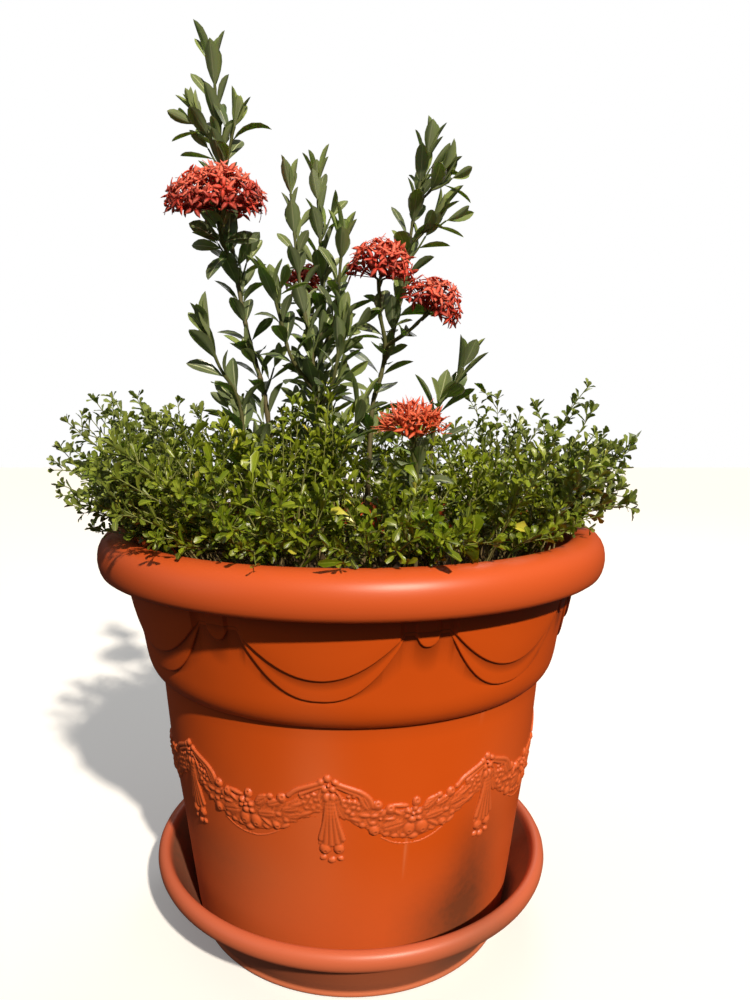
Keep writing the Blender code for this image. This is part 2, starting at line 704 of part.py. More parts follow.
def build_bloom(end, axis, radius, height, florets, space, luck):
    """A domed head: florets stand out all round a small core that sits just over its stem."""
    _, tip, _ = end
    axis = Vector(axis).normalized()
    core_radius = radius * 0.34
    core_height = height * 0.26
    body = dome_body(tip, axis, core_radius, core_height, 2 if florets > 20 else 1)
    lowest = min((vert.co - tip).dot(axis) for vert in body.verts)
    centre = tip + axis * (2 * GAP - lowest)
    bmesh.ops.translate(body, vec=centre - tip, verts=body.verts[:])
    space.add_body(body)
    sites = sorted(body.faces, key=lambda face: -(face.calc_center_median() - centre).dot(axis))
    for face in sites[:florets]:
        spot = face.calc_center_median() - centre
        lift = spot.dot(axis) / core_height
        flat = (spot - axis * spot.dot(axis)).normalized()
        spread = min(math.acos(max(-1.0, min(1.0, lift))) / LOWEST_FLORET, 1.0) * math.pi / 2
        for attempt in range(10):
            shorter = 1 - 0.03 * attempt
            target = (centre + flat * (radius - FLORET_PETAL * 0.75) * math.sin(spread) * shorter
                      + axis * (height * (0.12 + 0.62 * math.cos(spread)) + luck.uniform(-0.002, 0.003)))
            outward = flat * 0.85 * math.sin(spread) + axis * (0.55 + 0.6 * math.cos(spread))
            size = FLORET_PETAL * shorter
            if grow_floret(body, face, space, target, outward, size, luck.uniform(0, math.pi / 2)):
                break
    return body


# ---------------------------------------------------------------- underplanting
# Each bush: azimuth, distance from the middle, height of its crown, how far its outer sprigs reach.
BUSHES = (
    (8.0, 0.156, 0.500, 0.285), (50.0, 0.158, 0.508, 0.287), (84.0, 0.158, 0.520, 0.297),
    (120.0, 0.158, 0.530, 0.292), (156.0, 0.156, 0.520, 0.285), (192.0, 0.156, 0.512, 0.282),
    (228.0, 0.158, 0.525, 0.294), (264.0, 0.158, 0.535, 0.306), (298.0, 0.158, 0.528, 0.300),
    (333.0, 0.156, 0.508, 0.288),
    (-31.0, 0.086, 0.515, 0.120), (135.0, 0.064, 0.510, 0.100), (225.0, 0.092, 0.510, 0.120),
)
BUSH_CORE = (0.037, 0.044)      # radius and half height of a bush's core
INNER_BUSH = 0.12               # a bush nearer the middle than this is slimmer
INNER_SHARE = 0.62
BUSH_STEM = 0.0022
SMALL_LEAF = (0.038, 0.0215)    # length and width of a small leaf
LEAF_REACH = 0.050              # how far the leaves stand out past the end of their sprig


def small_blade(root, direction, up, length, width, droop):
    """Rings and tip of a spoon-shaped leaf, widest near its end."""
    along, across, above = frame_of(direction, up)
    middle = root + along * length * 0.62 - above * droop * length * 0.4
    half = width / 2
    lift = above * 0.12 * width
    ring = [middle - across * half + lift, middle + above * 0.0003,
            middle + across * half + lift, middle - above * 0.0011]
    return [ring], root + along * length - above * droop * length


def bush_core(spec):
    """The core of a bush and its trunk in the soil."""
    azimuth, distance, _, _ = spec
    inner = distance < INNER_BUSH
    radius = BUSH_CORE[0] * (INNER_SHARE if inner else 1.0)
    half = BUSH_CORE[1]
    centre = around(azimuth, distance, SOIL_TOP + 0.014 + half)
    body = bmesh.new()
    bmesh.ops.create_icosphere(body, subdivisions=1, radius=1.0)
    turn = Matrix.Rotation(math.radians(azimuth), 3, "Z")
    for vert in body.verts:
        point = turn @ vert.co
        vert.co = centre + Vector((point.x * radius, point.y * radius, point.z * half))
    body.normal_update()
    foot = around(azimuth, distance, SOIL_TOP - HOLE_DEPTH + GAP)
    lowest = sorted(body.faces, key=lambda face: face.calc_center_median().z)[0]
    down = Vector((0, 0, -1))
    _, across, _ = frame_of(down, Vector((0, 1, 0)))
    neck = foot + Vector((0, 0, HOLE_DEPTH + 0.009))
    face, _ = grow(body, lowest, tube_ring(neck, down, across, BUSH_STEM, 3))
    grow(body, face, tube_ring(foot, down, across, BUSH_STEM, 3))
    return body, centre


def grow_bush(spec, body, centre, space, luck):
    """Draws faces of the core out into leafy sprigs, longer towards the crown and the rim."""
    azimuth, distance, crown, reach = spec
    outward = around(azimuth, 1.0, 0.0)
    inner = distance < INNER_BUSH
    sites = []
    for face in body.faces:
        lean = (face.calc_center_median() - centre).normalized()
        if len(face.verts) == 3 and lean.z > -0.45:
            sites.append((face, lean))
    sites.sort(key=lambda site: -(site[1].z + 0.75 * site[1].dot(outward)))
    knots = []
    for number, (face, lean) in enumerate(sites[:4 if inner else 7]):
        start = face.calc_center_median()
        level = Vector((lean.x, lean.y, 0)).length
        rise = crown - 0.026 - start.z
        push = max(lean.dot(outward), 0.0) * max(reach - LEAF_REACH - start.to_2d().length, 0.0)
        if inner:
            push = 0.0
        target = start + outward * push + Vector((lean.x, lean.y, 0)) * 0.016
        target.z = start.z + max(rise * (1 - 0.55 * level) * luck.uniform(0.75, 1.0), 0.008)
        end, knot = grow_knot(body, face, target, space)
        knots.append((end, knot, target, number < (3 if inner else 4)))
    whorls = [grow_sprig(body, *knot, space, luck) for knot in knots]
    for end, place, along in whorls:
        grow_whorl(body, end, place, along, space, luck)
    return body


def grow_knot(body, face, target, space):
    """Draws a face of the core up to a thin ring just over it, where a sprig begins."""
    base = corners(face)
    lean = (face.normal + 0.5 * (target - face.calc_center_median()).normalized()).normalized()
    knot = face.calc_center_median() + face.normal * 0.005
    across = (base[0] - knot - lean * (base[0] - knot).dot(lean)).normalized()
    ring = tube_ring(knot, lean, across, 0.0028, 3)
    end, _ = grow(body, face, ring)
    space.add(*tested_shape([base, match(base, ring)[0]], knot + lean * 0.001, 0.0))
    return end, knot


def grow_sprig(body, face, knot, target, long_one, space, luck):
    """The stem of a long sprig, bent until it is clear of everything, or none for a short one."""
    for attempt in range(8 if long_one else 0):
        spot = knot.lerp(target, 1 - 0.09 * attempt)
        spot += Vector((luck.uniform(-1, 1), luck.uniform(-1, 1), luck.uniform(0, 1))) * 0.004 * attempt
        along = (spot - knot).normalized()
        corner = corners(face)[0] - knot
        across = (corner - along * corner.dot(along)).normalized()
        rings = [tube_ring(knot + along * 0.004, along, across, 0.0026, 3),
                 tube_ring(spot, along, across, 0.0020, 3)]
        if space.free(*tested_shape(rings, spot + along * 0.008, CLEARANCE)):
            face, _ = grow(body, face, rings[1])
            space.add(*tested_shape(rings, spot, 0.0))
            return face, spot, along
    return face, knot, (target - knot).normalized()


def grow_whorl(body, face, place, along, space, luck):
    """Three leaves round the end of a sprig, with its bud between them."""
    _, across, _ = frame_of(along, Vector((0.3, 0.2, 1.0)))
    face, sides = grow(body, face, tube_ring(place + along * NODE_BAND, along, across, 0.0019, 3))

    def maker(root, direction, scale):
        return small_blade(root, direction, along, SMALL_LEAF[0] * scale, SMALL_LEAF[1] * scale, 0.10)

    for side in sides:
        aim = side.normal + along * 0.70 + Vector((0, 0, 0.20))
        try_leaf(body, side, space, maker, aim, 7, luck)
    close_tip(body, face, face.calc_center_median() + along * 0.012)


# ---------------------------------------------------------------- the whole plant
def build_all():
    clear_scene()
    luck = random.Random(2024)
    space = Clearance()
    pot = build_pot()
    holder = bmesh.new()
    holder.from_mesh(pot.data)
    space.add_body(holder)
    holder.free()
    build_saucer()

    plants = [build_ixora(name, shoots) for name, shoots in SHOOTS.items()]
    for plant in plants:
        space.add_body(plant.body)
    ends = {label: end for plant in plants for label, end in plant.ends.items()}
    for name, (label, axis, radius, height, florets) in BLOOMS.items():
        body = build_bloom(ends[label], axis, radius, height, florets, space, luck)
        add_object(name, body, "ixora_flower")
    cores = [bush_core(spec) for spec in BUSHES]
    for body, _ in cores:
        space.add_body(body)
    for plant in plants:
        leaf_ixora(plant, space, luck)
    for number, (spec, (body, centre)) in enumerate(zip(BUSHES, cores)):
        name = f"bush_{number + 1:02d}"
        add_object(name, grow_bush(spec, body, centre, space, luck), "bush_leaf")

    holes = [(Vector(shoots[0][2][0]), shoots[0][3] + HOLE_SLACK) for shoots in SHOOTS.values()]
    holes += [(around(azimuth, distance, SOIL_TOP), BUSH_STEM + HOLE_SLACK)
              for azimuth, distance, _, _ in BUSHES]
    build_soil(holes)
    for plant in plants:
        add_object(plant.name, plant.body, plant.slot)


build_all()
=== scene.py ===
# Potted ixora in its moulded planter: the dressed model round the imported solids.
# Units are metres. The pot stands on the origin, its front towards -Y.

import json
import math
import random

import bmesh
import bpy
import numpy as np
from mathutils import Matrix, Vector

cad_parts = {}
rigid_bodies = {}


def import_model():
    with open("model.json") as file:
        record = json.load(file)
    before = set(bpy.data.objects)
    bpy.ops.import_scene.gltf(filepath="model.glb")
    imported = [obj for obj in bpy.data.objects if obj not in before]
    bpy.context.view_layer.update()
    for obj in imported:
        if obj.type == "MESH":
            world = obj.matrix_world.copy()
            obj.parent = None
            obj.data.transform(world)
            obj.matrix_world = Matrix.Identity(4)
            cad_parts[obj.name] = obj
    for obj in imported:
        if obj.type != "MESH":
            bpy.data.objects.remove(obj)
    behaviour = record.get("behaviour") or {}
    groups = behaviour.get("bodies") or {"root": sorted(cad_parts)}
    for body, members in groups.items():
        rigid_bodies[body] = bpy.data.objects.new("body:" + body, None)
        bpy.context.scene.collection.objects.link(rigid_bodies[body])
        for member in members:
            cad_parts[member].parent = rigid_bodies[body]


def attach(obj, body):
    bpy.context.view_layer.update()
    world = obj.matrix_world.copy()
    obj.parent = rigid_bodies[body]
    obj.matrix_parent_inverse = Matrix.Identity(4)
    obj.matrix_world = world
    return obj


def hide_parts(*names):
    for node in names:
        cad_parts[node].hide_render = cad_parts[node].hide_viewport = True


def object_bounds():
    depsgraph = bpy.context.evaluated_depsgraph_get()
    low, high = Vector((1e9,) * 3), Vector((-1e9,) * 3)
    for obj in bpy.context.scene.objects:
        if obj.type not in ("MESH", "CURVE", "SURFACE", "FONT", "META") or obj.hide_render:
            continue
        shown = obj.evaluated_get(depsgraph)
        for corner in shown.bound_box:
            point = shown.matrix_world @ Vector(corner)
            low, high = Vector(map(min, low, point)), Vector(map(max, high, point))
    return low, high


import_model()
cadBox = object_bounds()
print("frame loaded")


# ---- small helpers

def linearColour(hexCode):
    channels = [int(hexCode[i:i + 2], 16) / 255 for i in (1, 3, 5)]
    return tuple(c / 12.92 if c <= 0.04045 else ((c + 0.055) / 1.055) ** 2.4 for c in channels) + (1.0,)


def socketOf(sockets, key):
    # by place, or by name among the sockets in use
    if isinstance(key, int):
        return sockets[key]
    return next(s for s in sockets if s.enabled and not s.is_unavailable
                and key in (s.name, s.identifier))


def feed(node, key, value):
    # an input takes a plain value, a socket, or another node's first output in use
    socket = socketOf(node.inputs, key)
    if isinstance(value, bpy.types.Node):
        value = next(s for s in value.outputs if s.enabled and not s.is_unavailable)
    if isinstance(value, bpy.types.NodeSocket):
        node.id_data.links.new(value, socket)
    else:
        socket.default_value = value


def addNode(tree, kind, inputs=None, **settings):
    # one node with its settings and what feeds it
    node = tree.nodes.new(kind)
    for name, value in settings.items():
        setattr(node, name, value)
    for key, value in (inputs or {}).items():
        feed(node, key, value)
    return node


def addStops(ramp, stops):
    # colour stops on a ramp node: (place, hex colour)
    elements = ramp.color_ramp.elements
    while len(elements) < len(stops):
        elements.new(0.5)
    for element, (place, hexCode) in zip(elements, stops):
        element.position = place
        element.color = linearColour(hexCode)
    return ramp


def newMaterial(name, roughness, ior=1.5, **sockets):
    made = bpy.data.materials.new(name)
    made.use_nodes = True
    shader = made.node_tree.nodes["Principled BSDF"]
    shader.inputs["Roughness"].default_value = roughness
    shader.inputs["IOR"].default_value = ior
    for key, value in sockets.items():
        shader.inputs[key.replace("_", " ")].default_value = value
    return made, made.node_tree, shader


def meshPiece(name, points, faces, finish=None, smoothAngle=None, edges=()):
    mesh = bpy.data.meshes.new(name)
    mesh.from_pydata([tuple(p) for p in points], edges, faces)
    mesh.update()
    mesh.shade_smooth()
    if smoothAngle:
        mesh.set_sharp_from_angle(angle=math.radians(smoothAngle))
    if finish:
        mesh.materials.append(finish)
    made = bpy.data.objects.new(name, mesh)
    bpy.context.scene.collection.objects.link(made)
    return made


def ringFaces(rows, count):
    # quads between neighbouring rings of points
    return [(row * count + k, row * count + (k + 1) % count, (row + 1) * count + (k + 1) % count,
             (row + 1) * count + k) for row in range(rows - 1) for k in range(count)]


def turnedPiece(name, rings, bottom, top, finish, smoothAngle):
    # a closed skin: rings from the underside round to the inside, each end closed to a middle point
    count = len(rings[0])
    points = [point for ring in rings for point in ring]
    faces = ringFaces(len(rings), count)
    for row, height, flipped in ((0, bottom, True), (len(rings) - 1, top, False)):
        centre = len(points)
        points.append(Vector((0, 0, height)))
        for k in range(count):
            pair = (row * count + k, row * count + (k + 1) % count)
            faces.append((pair[1], pair[0], centre) if flipped else (*pair, centre))
    return meshPiece(name, points, faces, finish, smoothAngle)


def setAttribute(item, name, values):
    values = np.asarray(values, dtype=np.float32)
    kind = "FLOAT_VECTOR" if values.ndim == 2 else "FLOAT"
    made = item.data.attributes.new(name, kind, "POINT")
    made.data.foreach_set("vector" if values.ndim == 2 else "value", values.ravel())


def around(azimuth, radius, height):
    turn = math.radians(azimuth)
    return Vector((radius * math.sin(turn), -radius * math.cos(turn), height))


def millimetres(place):
    # a place given in millimetres, in metres
    return Vector([value / 1000 for value in place])


def smoothPath(points, step):
    # points about a step apart along a Catmull-Rom curve
    points = [Vector(p) for p in points]
    ends = [2 * points[0] - points[1], *points, 2 * points[-1] - points[-2]]
    path = [points[0]]
    for a, b, c, d in zip(ends, ends[1:], ends[2:], ends[3:]):
        count = max(1, round((c - b).length / step))
        for k in range(1, count + 1):
            t = k / count
            path.append(0.5 * (2 * b + (c - a) * t + (2 * a - 5 * b + 4 * c - d) * t ** 2
                               + (3 * b - a - 3 * c + d) * t ** 3))
    return path


def frameOf(direction, up):
    along = direction.normalized()
    across = along.cross(up)
    if across.length < 1e-4:
        across = along.cross(Vector((0.31, 0.95, 0.05)))
    across.normalize()
    return along, across, across.cross(along)


# ---- camera, light and floor

cameraSet = {"place": (0.0, -0.766, 0.518), "dip": 6.86, "lens": 27.0, "shift": 0.024}
cameraData = bpy.data.cameras.new("camera")
cameraData.lens = cameraSet["lens"]
cameraData.sensor_width = 36.0
cameraData.shift_x = cameraSet["shift"]
camera = bpy.data.objects.new("camera", cameraData)
camera.location = cameraSet["place"]
camera.rotation_euler = (math.radians(90 - cameraSet["dip"]), 0, 0)
bpy.context.scene.collection.objects.link(camera)
bpy.context.scene.camera = camera

# azimuth and height in degrees, distance, size in metres or degrees, strength, colour
lightSet = {"key": (24.0, 39.0, 3.0, 2.0, 4.2, "#FFF3E2"),
            "fill": (-62.0, 12.0, 2.2, 1.5, 2.6, "#EEF2FF"),
            "back": (160.0, 42.0, 2.6, 1.2, 9.0, "#FFFFFF")}
skySet = {"shown": 1.0, "low": 0.03, "high": 0.27, "colour": "#F6F4F0"}
lightAim = Vector((0.0, 0.0, 0.4))
for lightName, (azimuth, height, distance, size, power, tint) in lightSet.items():
    lamp = bpy.data.lights.new(lightName, "SUN" if lightName == "key" else "AREA")
    if lightName == "key":
        lamp.angle = math.radians(size)
    else:
        lamp.shape = "DISK"
        lamp.size = size
    lamp.energy = power
    lamp.color = linearColour(tint)[:3]
    lampObject = bpy.data.objects.new(lightName, lamp)
    level = distance * math.cos(math.radians(height))
    lampObject.location = lightAim + around(azimuth, level, distance * math.sin(math.radians(height)))
    lampObject.rotation_euler = (lightAim - lampObject.location).to_track_quat("-Z", "Y").to_euler()
    bpy.context.scene.collection.objects.link(lampObject)
world = bpy.data.worlds.new("studio")
world.use_nodes = True
skyTree = world.node_tree
skyTree.nodes.clear()
# white to the camera; a softer sky, brighter overhead, lights the scene
skyWay = addNode(skyTree, "ShaderNodeTexCoord").outputs["Generated"]
skyUp = addNode(skyTree, "ShaderNodeSeparateXYZ", {"Vector": skyWay}).outputs["Z"]
skyGiven = addNode(skyTree, "ShaderNodeMapRange", {"Value": skyUp, "From Min": -0.05, "From Max": 0.7,
                                                   "To Min": skySet["low"], "To Max": skySet["high"]})
lit, seen = (addNode(skyTree, "ShaderNodeBackground", {"Color": linearColour(tint), "Strength": strength})
             for tint, strength in ((skySet["colour"], skyGiven), ("#FFFFFF", skySet["shown"])))
sight = addNode(skyTree, "ShaderNodeLightPath").outputs["Is Camera Ray"]
mixedSky = addNode(skyTree, "ShaderNodeMixShader", {0: sight, 1: lit, 2: seen})
addNode(skyTree, "ShaderNodeOutputWorld", {"Surface": mixedSky})
bpy.context.scene.world = world
bpy.context.scene.view_settings.view_transform = "Standard"

# matt painted board: even and pale, no gloss
floorPaint, floorTree, floorShader = newMaterial("mattFloorPaint", 0.9, Emission_Strength=0.14)
floorNoise = addNode(floorTree, "ShaderNodeTexNoise", {"Scale": 3.0, "Detail": 2.0})
floorMix = addNode(floorTree, "ShaderNodeMix", {"Factor": floorNoise, "A": linearColour("#FAFAF9"),
                                                "B": linearColour("#FDFDFC")}, data_type="RGBA")
feed(floorShader, "Base Color", floorMix)
floorSet = {"half": 6.0, "level": -0.0005}
floorCorners = [(x * floorSet["half"], y * floorSet["half"], floorSet["level"])
                for x, y in ((-1, -1), (1, -1), (1, 1), (-1, 1))]
floor = meshPiece("floor", floorCorners, [(0, 1, 2, 3)], floorPaint)
floor.visible_diffuse = False          # as with black cards beside the set: no bounce from below
floor.visible_glossy = False
print("camera, light and floor set")


# ---- materials

def mouldedPlastic(name, colours, roughness, fade, grain):
    # injection-moulded polypropylene: even satin colour, a fine moulded grain, slight waves in the wall,
    # a sun-bleached upper edge, a dark layer that holds soiling and painted shade (in creases, under
    # ledges, and painted shadow patches), and a pale layer for rubs where it was knocked and a painted
    # highlight on the garland's raised tops
    made, tree, shader = newMaterial(name, roughness, 1.49)
    place = addNode(tree, "ShaderNodeTexCoord").outputs["Object"]
    cloud = addNode(tree, "ShaderNodeTexNoise", {"Vector": place, "Scale": 9.0, "Detail": 3.0})
    height = addNode(tree, "ShaderNodeSeparateXYZ", {"Vector": place}).outputs["Z"]
    bleach = addNode(tree, "ShaderNodeMapRange", {"Value": height, "From Min": fade[0],
                                                  "From Max": fade[1]})
    dust, rub = (addNode(tree, "ShaderNodeAttribute", attribute_name=markLayer).outputs["Fac"]
                 for markLayer in ("dust", "rub"))
    grit = addNode(tree, "ShaderNodeTexNoise", {"Vector": place, "Scale": 160.0, "Detail": 4.0})
    gritty = addNode(tree, "ShaderNodeMapRange", {"Value": grit, "From Min": 0.3, "From Max": 0.7,
                                                  "To Min": 0.46, "To Max": 0.54})
    grittyDustAndShade = addNode(tree, "ShaderNodeMath", {0: dust, 1: gritty}, operation="MULTIPLY")
    colour = linearColour(colours[0])
    for factor, laid in zip((cloud, bleach, grittyDustAndShade, rub), colours[1:]):
        colour = addNode(tree, "ShaderNodeMix", {"Factor": factor, "A": colour, "B": linearColour(laid)},
                         data_type="RGBA")
    feed(shader, "Base Color", colour)
    sheen = addNode(tree, "ShaderNodeMapRange", {"Value": cloud, "To Min": roughness - 0.05,
                                                 "To Max": roughness + 0.07})
    worn = addNode(tree, "ShaderNodeMath", {0: rub, 1: 0.25, 2: sheen}, operation="MULTIPLY_ADD")
    feed(shader, "Roughness", worn)
    skin = addNode(tree, "ShaderNodeTexNoise", {"Vector": place, "Scale": grain, "Detail": 2.0})
    wave = addNode(tree, "ShaderNodeTexNoise", {"Vector": place, "Scale": 14.0, "Detail": 1.0})
    fine = addNode(tree, "ShaderNodeBump", {"Height": skin, "Strength": 0.1, "Distance": 0.0004})
    broad = addNode(tree, "ShaderNodeBump", {"Height": wave, "Strength": 0.1, "Distance": 0.004,
                                             "Normal": fine})
    feed(shader, "Normal", broad)
    return made


# grain of 0.8 mm on the pot and 1.2 mm on the saucer, both a little coarser than the real 0.3 mm to show;
# colours: two for the wall, then the bleached edge, the dark colour of soiling and painted shade, and the
# pale colour of rubs and of the painted highlight on the garland
potColours = ("#D2500B", "#DA5813", "#D65A26", "#5E2810", "#EE9466")
saucerColours = ("#D26638", "#D87042", "#CC6542", "#6E4E3C", "#E0A288")
potPlastic = mouldedPlastic("mouldedPolypropylene", potColours, roughness=0.4, fade=(0.356, 0.374),
                            grain=1250.0)
saucerPlastic = mouldedPlastic("weatheredPolypropylene", saucerColours, roughness=0.4, fade=(0.05, 0.07),
                               grain=830.0)


def leafFinish(name, stops, veinColour, underColour, freshColour, paintedSheen, roughness, veinPitch):
    # living leaf: a waxy cuticle with crisp glints above, a duller paler underside, a light midrib
    # with side veins, and each leaf its own age
    made, tree, shader = newMaterial(name, roughness, 1.45, Subsurface_Weight=0.12,
                                     Subsurface_Scale=0.003, Subsurface_Radius=(0.5, 1.0, 0.15))
    age, under = (addNode(tree, "ShaderNodeAttribute", attribute_name=given).outputs["Fac"]
                  for given in ("tone", "under"))
    spot = addNode(tree, "ShaderNodeUVMap", uv_map="blade").outputs["UV"]
    place = addNode(tree, "ShaderNodeTexCoord").outputs["Object"]
    mottle = addNode(tree, "ShaderNodeTexNoise", {"Vector": place, "Scale": 90.0, "Detail": 3.0})
    shift = addNode(tree, "ShaderNodeMath", {0: mottle, 1: 0.22, 2: age}, operation="MULTIPLY_ADD")
    centred = addNode(tree, "ShaderNodeMath", {0: shift, 1: 0.11}, operation="SUBTRACT")
    colour = addStops(addNode(tree, "ShaderNodeValToRGB", {"Fac": centred}), stops)
    parts = addNode(tree, "ShaderNodeSeparateXYZ", {"Vector": spot})
    off = addNode(tree, "ShaderNodeMath", {0: parts.outputs["X"], 1: 0.5}, operation="SUBTRACT")
    # painted sheen: leaves far from the middle of the pot are mixed towards a pale, dull green that
    # stands in for the sky's sheen on the outer leaves, and some in any place are a fresher green
    away = addNode(tree, "ShaderNodeVectorMath", {0: place, 1: (0.0, -0.1, 0.36)}, operation="DISTANCE")
    paintedSheenMix = addNode(tree, "ShaderNodeMapRange", {"Value": away, "From Min": 0.18, "From Max": 0.33,
                                                "To Min": 0.0, "To Max": paintedSheen})
    area = addNode(tree, "ShaderNodeTexNoise", {"Vector": place, "Scale": 26.0, "Detail": 1.0})
    fresh = addNode(tree, "ShaderNodeMapRange", {"Value": area, "From Min": 0.52, "From Max": 0.68,
                                                 "To Min": 0.0, "To Max": 0.45})
    side = addNode(tree, "ShaderNodeMath", {0: off}, operation="ABSOLUTE").outputs["Value"]
    midrib = addNode(tree, "ShaderNodeMapRange", {"Value": side, "From Min": 0.016, "From Max": 0.052,
                                                  "To Min": 0.95, "To Max": 0.0})
    slant = addNode(tree, "ShaderNodeMath", {0: side, 1: -0.9, 2: parts.outputs["Y"]},
                    operation="MULTIPLY_ADD")
    beat = addNode(tree, "ShaderNodeMath", {0: slant, 1: math.tau / veinPitch}, operation="MULTIPLY")
    wave = addNode(tree, "ShaderNodeMath", {0: beat}, operation="SINE").outputs["Value"]
    vein = addNode(tree, "ShaderNodeMapRange", {"Value": wave, "From Min": 0.86, "From Max": 1.0,
                                                "To Min": 0.0, "To Max": 0.09})
    both = addNode(tree, "ShaderNodeMath", {0: midrib, 1: vein}, operation="MAXIMUM").outputs["Value"]
    turned = addNode(tree, "ShaderNodeMath", {0: under, 1: 0.55}, operation="MULTIPLY")
    layers = ((paintedSheenMix, "#8C9A6E"), (fresh, freshColour), (both, veinColour), (turned, underColour))
    for factor, laid in layers:
        colour = addNode(tree, "ShaderNodeMix", {"Factor": factor, "A": colour, "B": linearColour(laid)},
                         data_type="RGBA")
    feed(shader, "Base Color", colour)
    dull = addNode(tree, "ShaderNodeMath", {0: under, 1: 0.28, 2: roughness}, operation="MULTIPLY_ADD")
    feed(shader, "Roughness", dull)
    ribs = addNode(tree, "ShaderNodeMath", {0: both, 1: -1.0}, operation="MULTIPLY")
    bump = addNode(tree, "ShaderNodeBump", {"Height": ribs, "Strength": 0.15, "Distance": 0.0005})
    feed(shader, "Normal", bump)
    return made


# side veins at about a ninth of an ixora leaf's length and a fifth of a bedding leaf's
ixoraLeaf = leafFinish(
    "waxyIxoraLeaf",
    ((0.0, "#4E5941"), (0.35, "#65714C"), (0.62, "#7D8B54"), (0.85, "#96A75A"), (1.0, "#B0C16C")),
    veinColour="#C0CA96", underColour="#818D69", freshColour="#5B7E34", paintedSheen=0.0, roughness=0.26,
    veinPitch=0.115)
bedLeaf = leafFinish(
    "softBeddingLeaf",
    ((0.0, "#343C05"), (0.36, "#5D6C09"), (0.68, "#87961B"), (0.9, "#ABB736"), (1.0, "#D0CA48")),
    veinColour="#A2AF3C", underColour="#7E8A28", freshColour="#5E7F14", paintedSheen=0.5, roughness=0.34,
    veinPitch=0.22)


def stemFinish(name, low, high, scale, roughness):
    # young bark: green towards the tips, brown and finely ridged at the foot
    made, tree, shader = newMaterial(name, roughness, 1.45)
    place = addNode(tree, "ShaderNodeTexCoord").outputs["Object"]
    tone = addNode(tree, "ShaderNodeAttribute", attribute_name="tone").outputs["Fac"]
    fleck = addNode(tree, "ShaderNodeTexNoise", {"Vector": place, "Scale": scale, "Detail": 4.0})
    mixed = addNode(tree, "ShaderNodeMath", {0: fleck, 1: 0.5, 2: tone}, operation="MULTIPLY_ADD")
    level = addNode(tree, "ShaderNodeMath", {0: mixed, 1: 0.25}, operation="SUBTRACT", use_clamp=True)
    colour = addNode(tree, "ShaderNodeMix", {"Factor": level, "A": linearColour(low),
                                             "B": linearColour(high)}, data_type="RGBA")
    feed(shader, "Base Color", colour)
    bump = addNode(tree, "ShaderNodeBump", {"Height": fleck, "Strength": 0.35, "Distance": 0.0006})
    feed(shader, "Normal", bump)
    return made


# ridges of 1.2 mm on the shrub's bark, 0.7 mm on the bedding stems
ixoraBark = stemFinish("ixoraBark", "#6A563C", "#556430", 800.0, 0.62)
bedStem = stemFinish("beddingStem", "#86704A", "#86964A", 1400.0, 0.55)


def petalFinish():
    # ixora petals: thin, matt and saturated, with a slight glow where light comes through,
    # deeper at the throat, more orange on the low, oldest head; tubes and buds are dark wine red
    made, tree, shader = newMaterial("ixoraPetal", 0.5, 1.4, Subsurface_Weight=0.2,
                                     Subsurface_Scale=0.003, Subsurface_Radius=(1.0, 0.25, 0.12))
    tone, tip = (addNode(tree, "ShaderNodeAttribute", attribute_name=given).outputs["Fac"]
                 for given in ("tone", "tip"))
    place = addNode(tree, "ShaderNodeTexCoord").outputs["Object"]
    grain = addNode(tree, "ShaderNodeTexNoise", {"Vector": place, "Scale": 260.0, "Detail": 3.0})
    level = addNode(tree, "ShaderNodeMath", {0: grain, 1: 0.18, 2: tone}, operation="MULTIPLY_ADD")
    colour = addStops(addNode(tree, "ShaderNodeValToRGB", {"Fac": level}),
                      ((0.0, "#5A1012"), (0.3, "#A8201A"), (0.56, "#EE3D27"), (1.0, "#FC745A")))
    high = addNode(tree, "ShaderNodeSeparateXYZ", {"Vector": place}).outputs["Z"]
    older = addNode(tree, "ShaderNodeMapRange", {"Value": high, "From Min": 0.54, "From Max": 0.51,
                                                 "To Min": 0.0, "To Max": 0.62})
    # painted highlight: the petals turn paler towards their tips, and the stamens with them
    lit = addNode(tree, "ShaderNodeMath", {0: tip, 1: 0.34}, operation="MULTIPLY")
    for factor, laid in ((older, "#E8662A"), (lit, "#FF957A")):
        colour = addNode(tree, "ShaderNodeMix", {"Factor": factor, "A": colour, "B": linearColour(laid)},
                         data_type="RGBA")
    feed(shader, "Base Color", colour)
    bump = addNode(tree, "ShaderNodeBump", {"Height": grain, "Strength": 0.2, "Distance": 0.0003})
    feed(shader, "Normal", bump)
    return made


ixoraPetal = petalFinish()


def compostFinish():
    # damp potting compost: almost black fibre with brown bark crumbs of 3 to 9 mm
    made, tree, shader = newMaterial("pottingCompost", 0.92, 1.4)
    place = addNode(tree, "ShaderNodeTexCoord").outputs["Object"]
    tone = addNode(tree, "ShaderNodeAttribute", attribute_name="tone").outputs["Fac"]
    crumb = addNode(tree, "ShaderNodeTexNoise", {"Vector": place, "Scale": 190.0, "Detail": 6.0,
                                                 "Roughness": 0.7})
    level = addNode(tree, "ShaderNodeMath", {0: tone, 1: 0.5, 2: crumb}, operation="MULTIPLY_ADD")
    colour = addStops(addNode(tree, "ShaderNodeValToRGB", {"Fac": level}),
                      ((0.25, "#1A130D"), (0.55, "#38291B"), (0.8, "#5C4631"), (1.0, "#8A7252")))
    feed(shader, "Base Color", colour)
    bump = addNode(tree, "ShaderNodeBump", {"Height": crumb, "Strength": 0.8, "Distance": 0.002})
    feed(shader, "Normal", bump)
    return made


pottingCompost = compostFinish()
print("materials ready")


# ---- Geometry Nodes: copies on points, round stems, crumbs on a surface

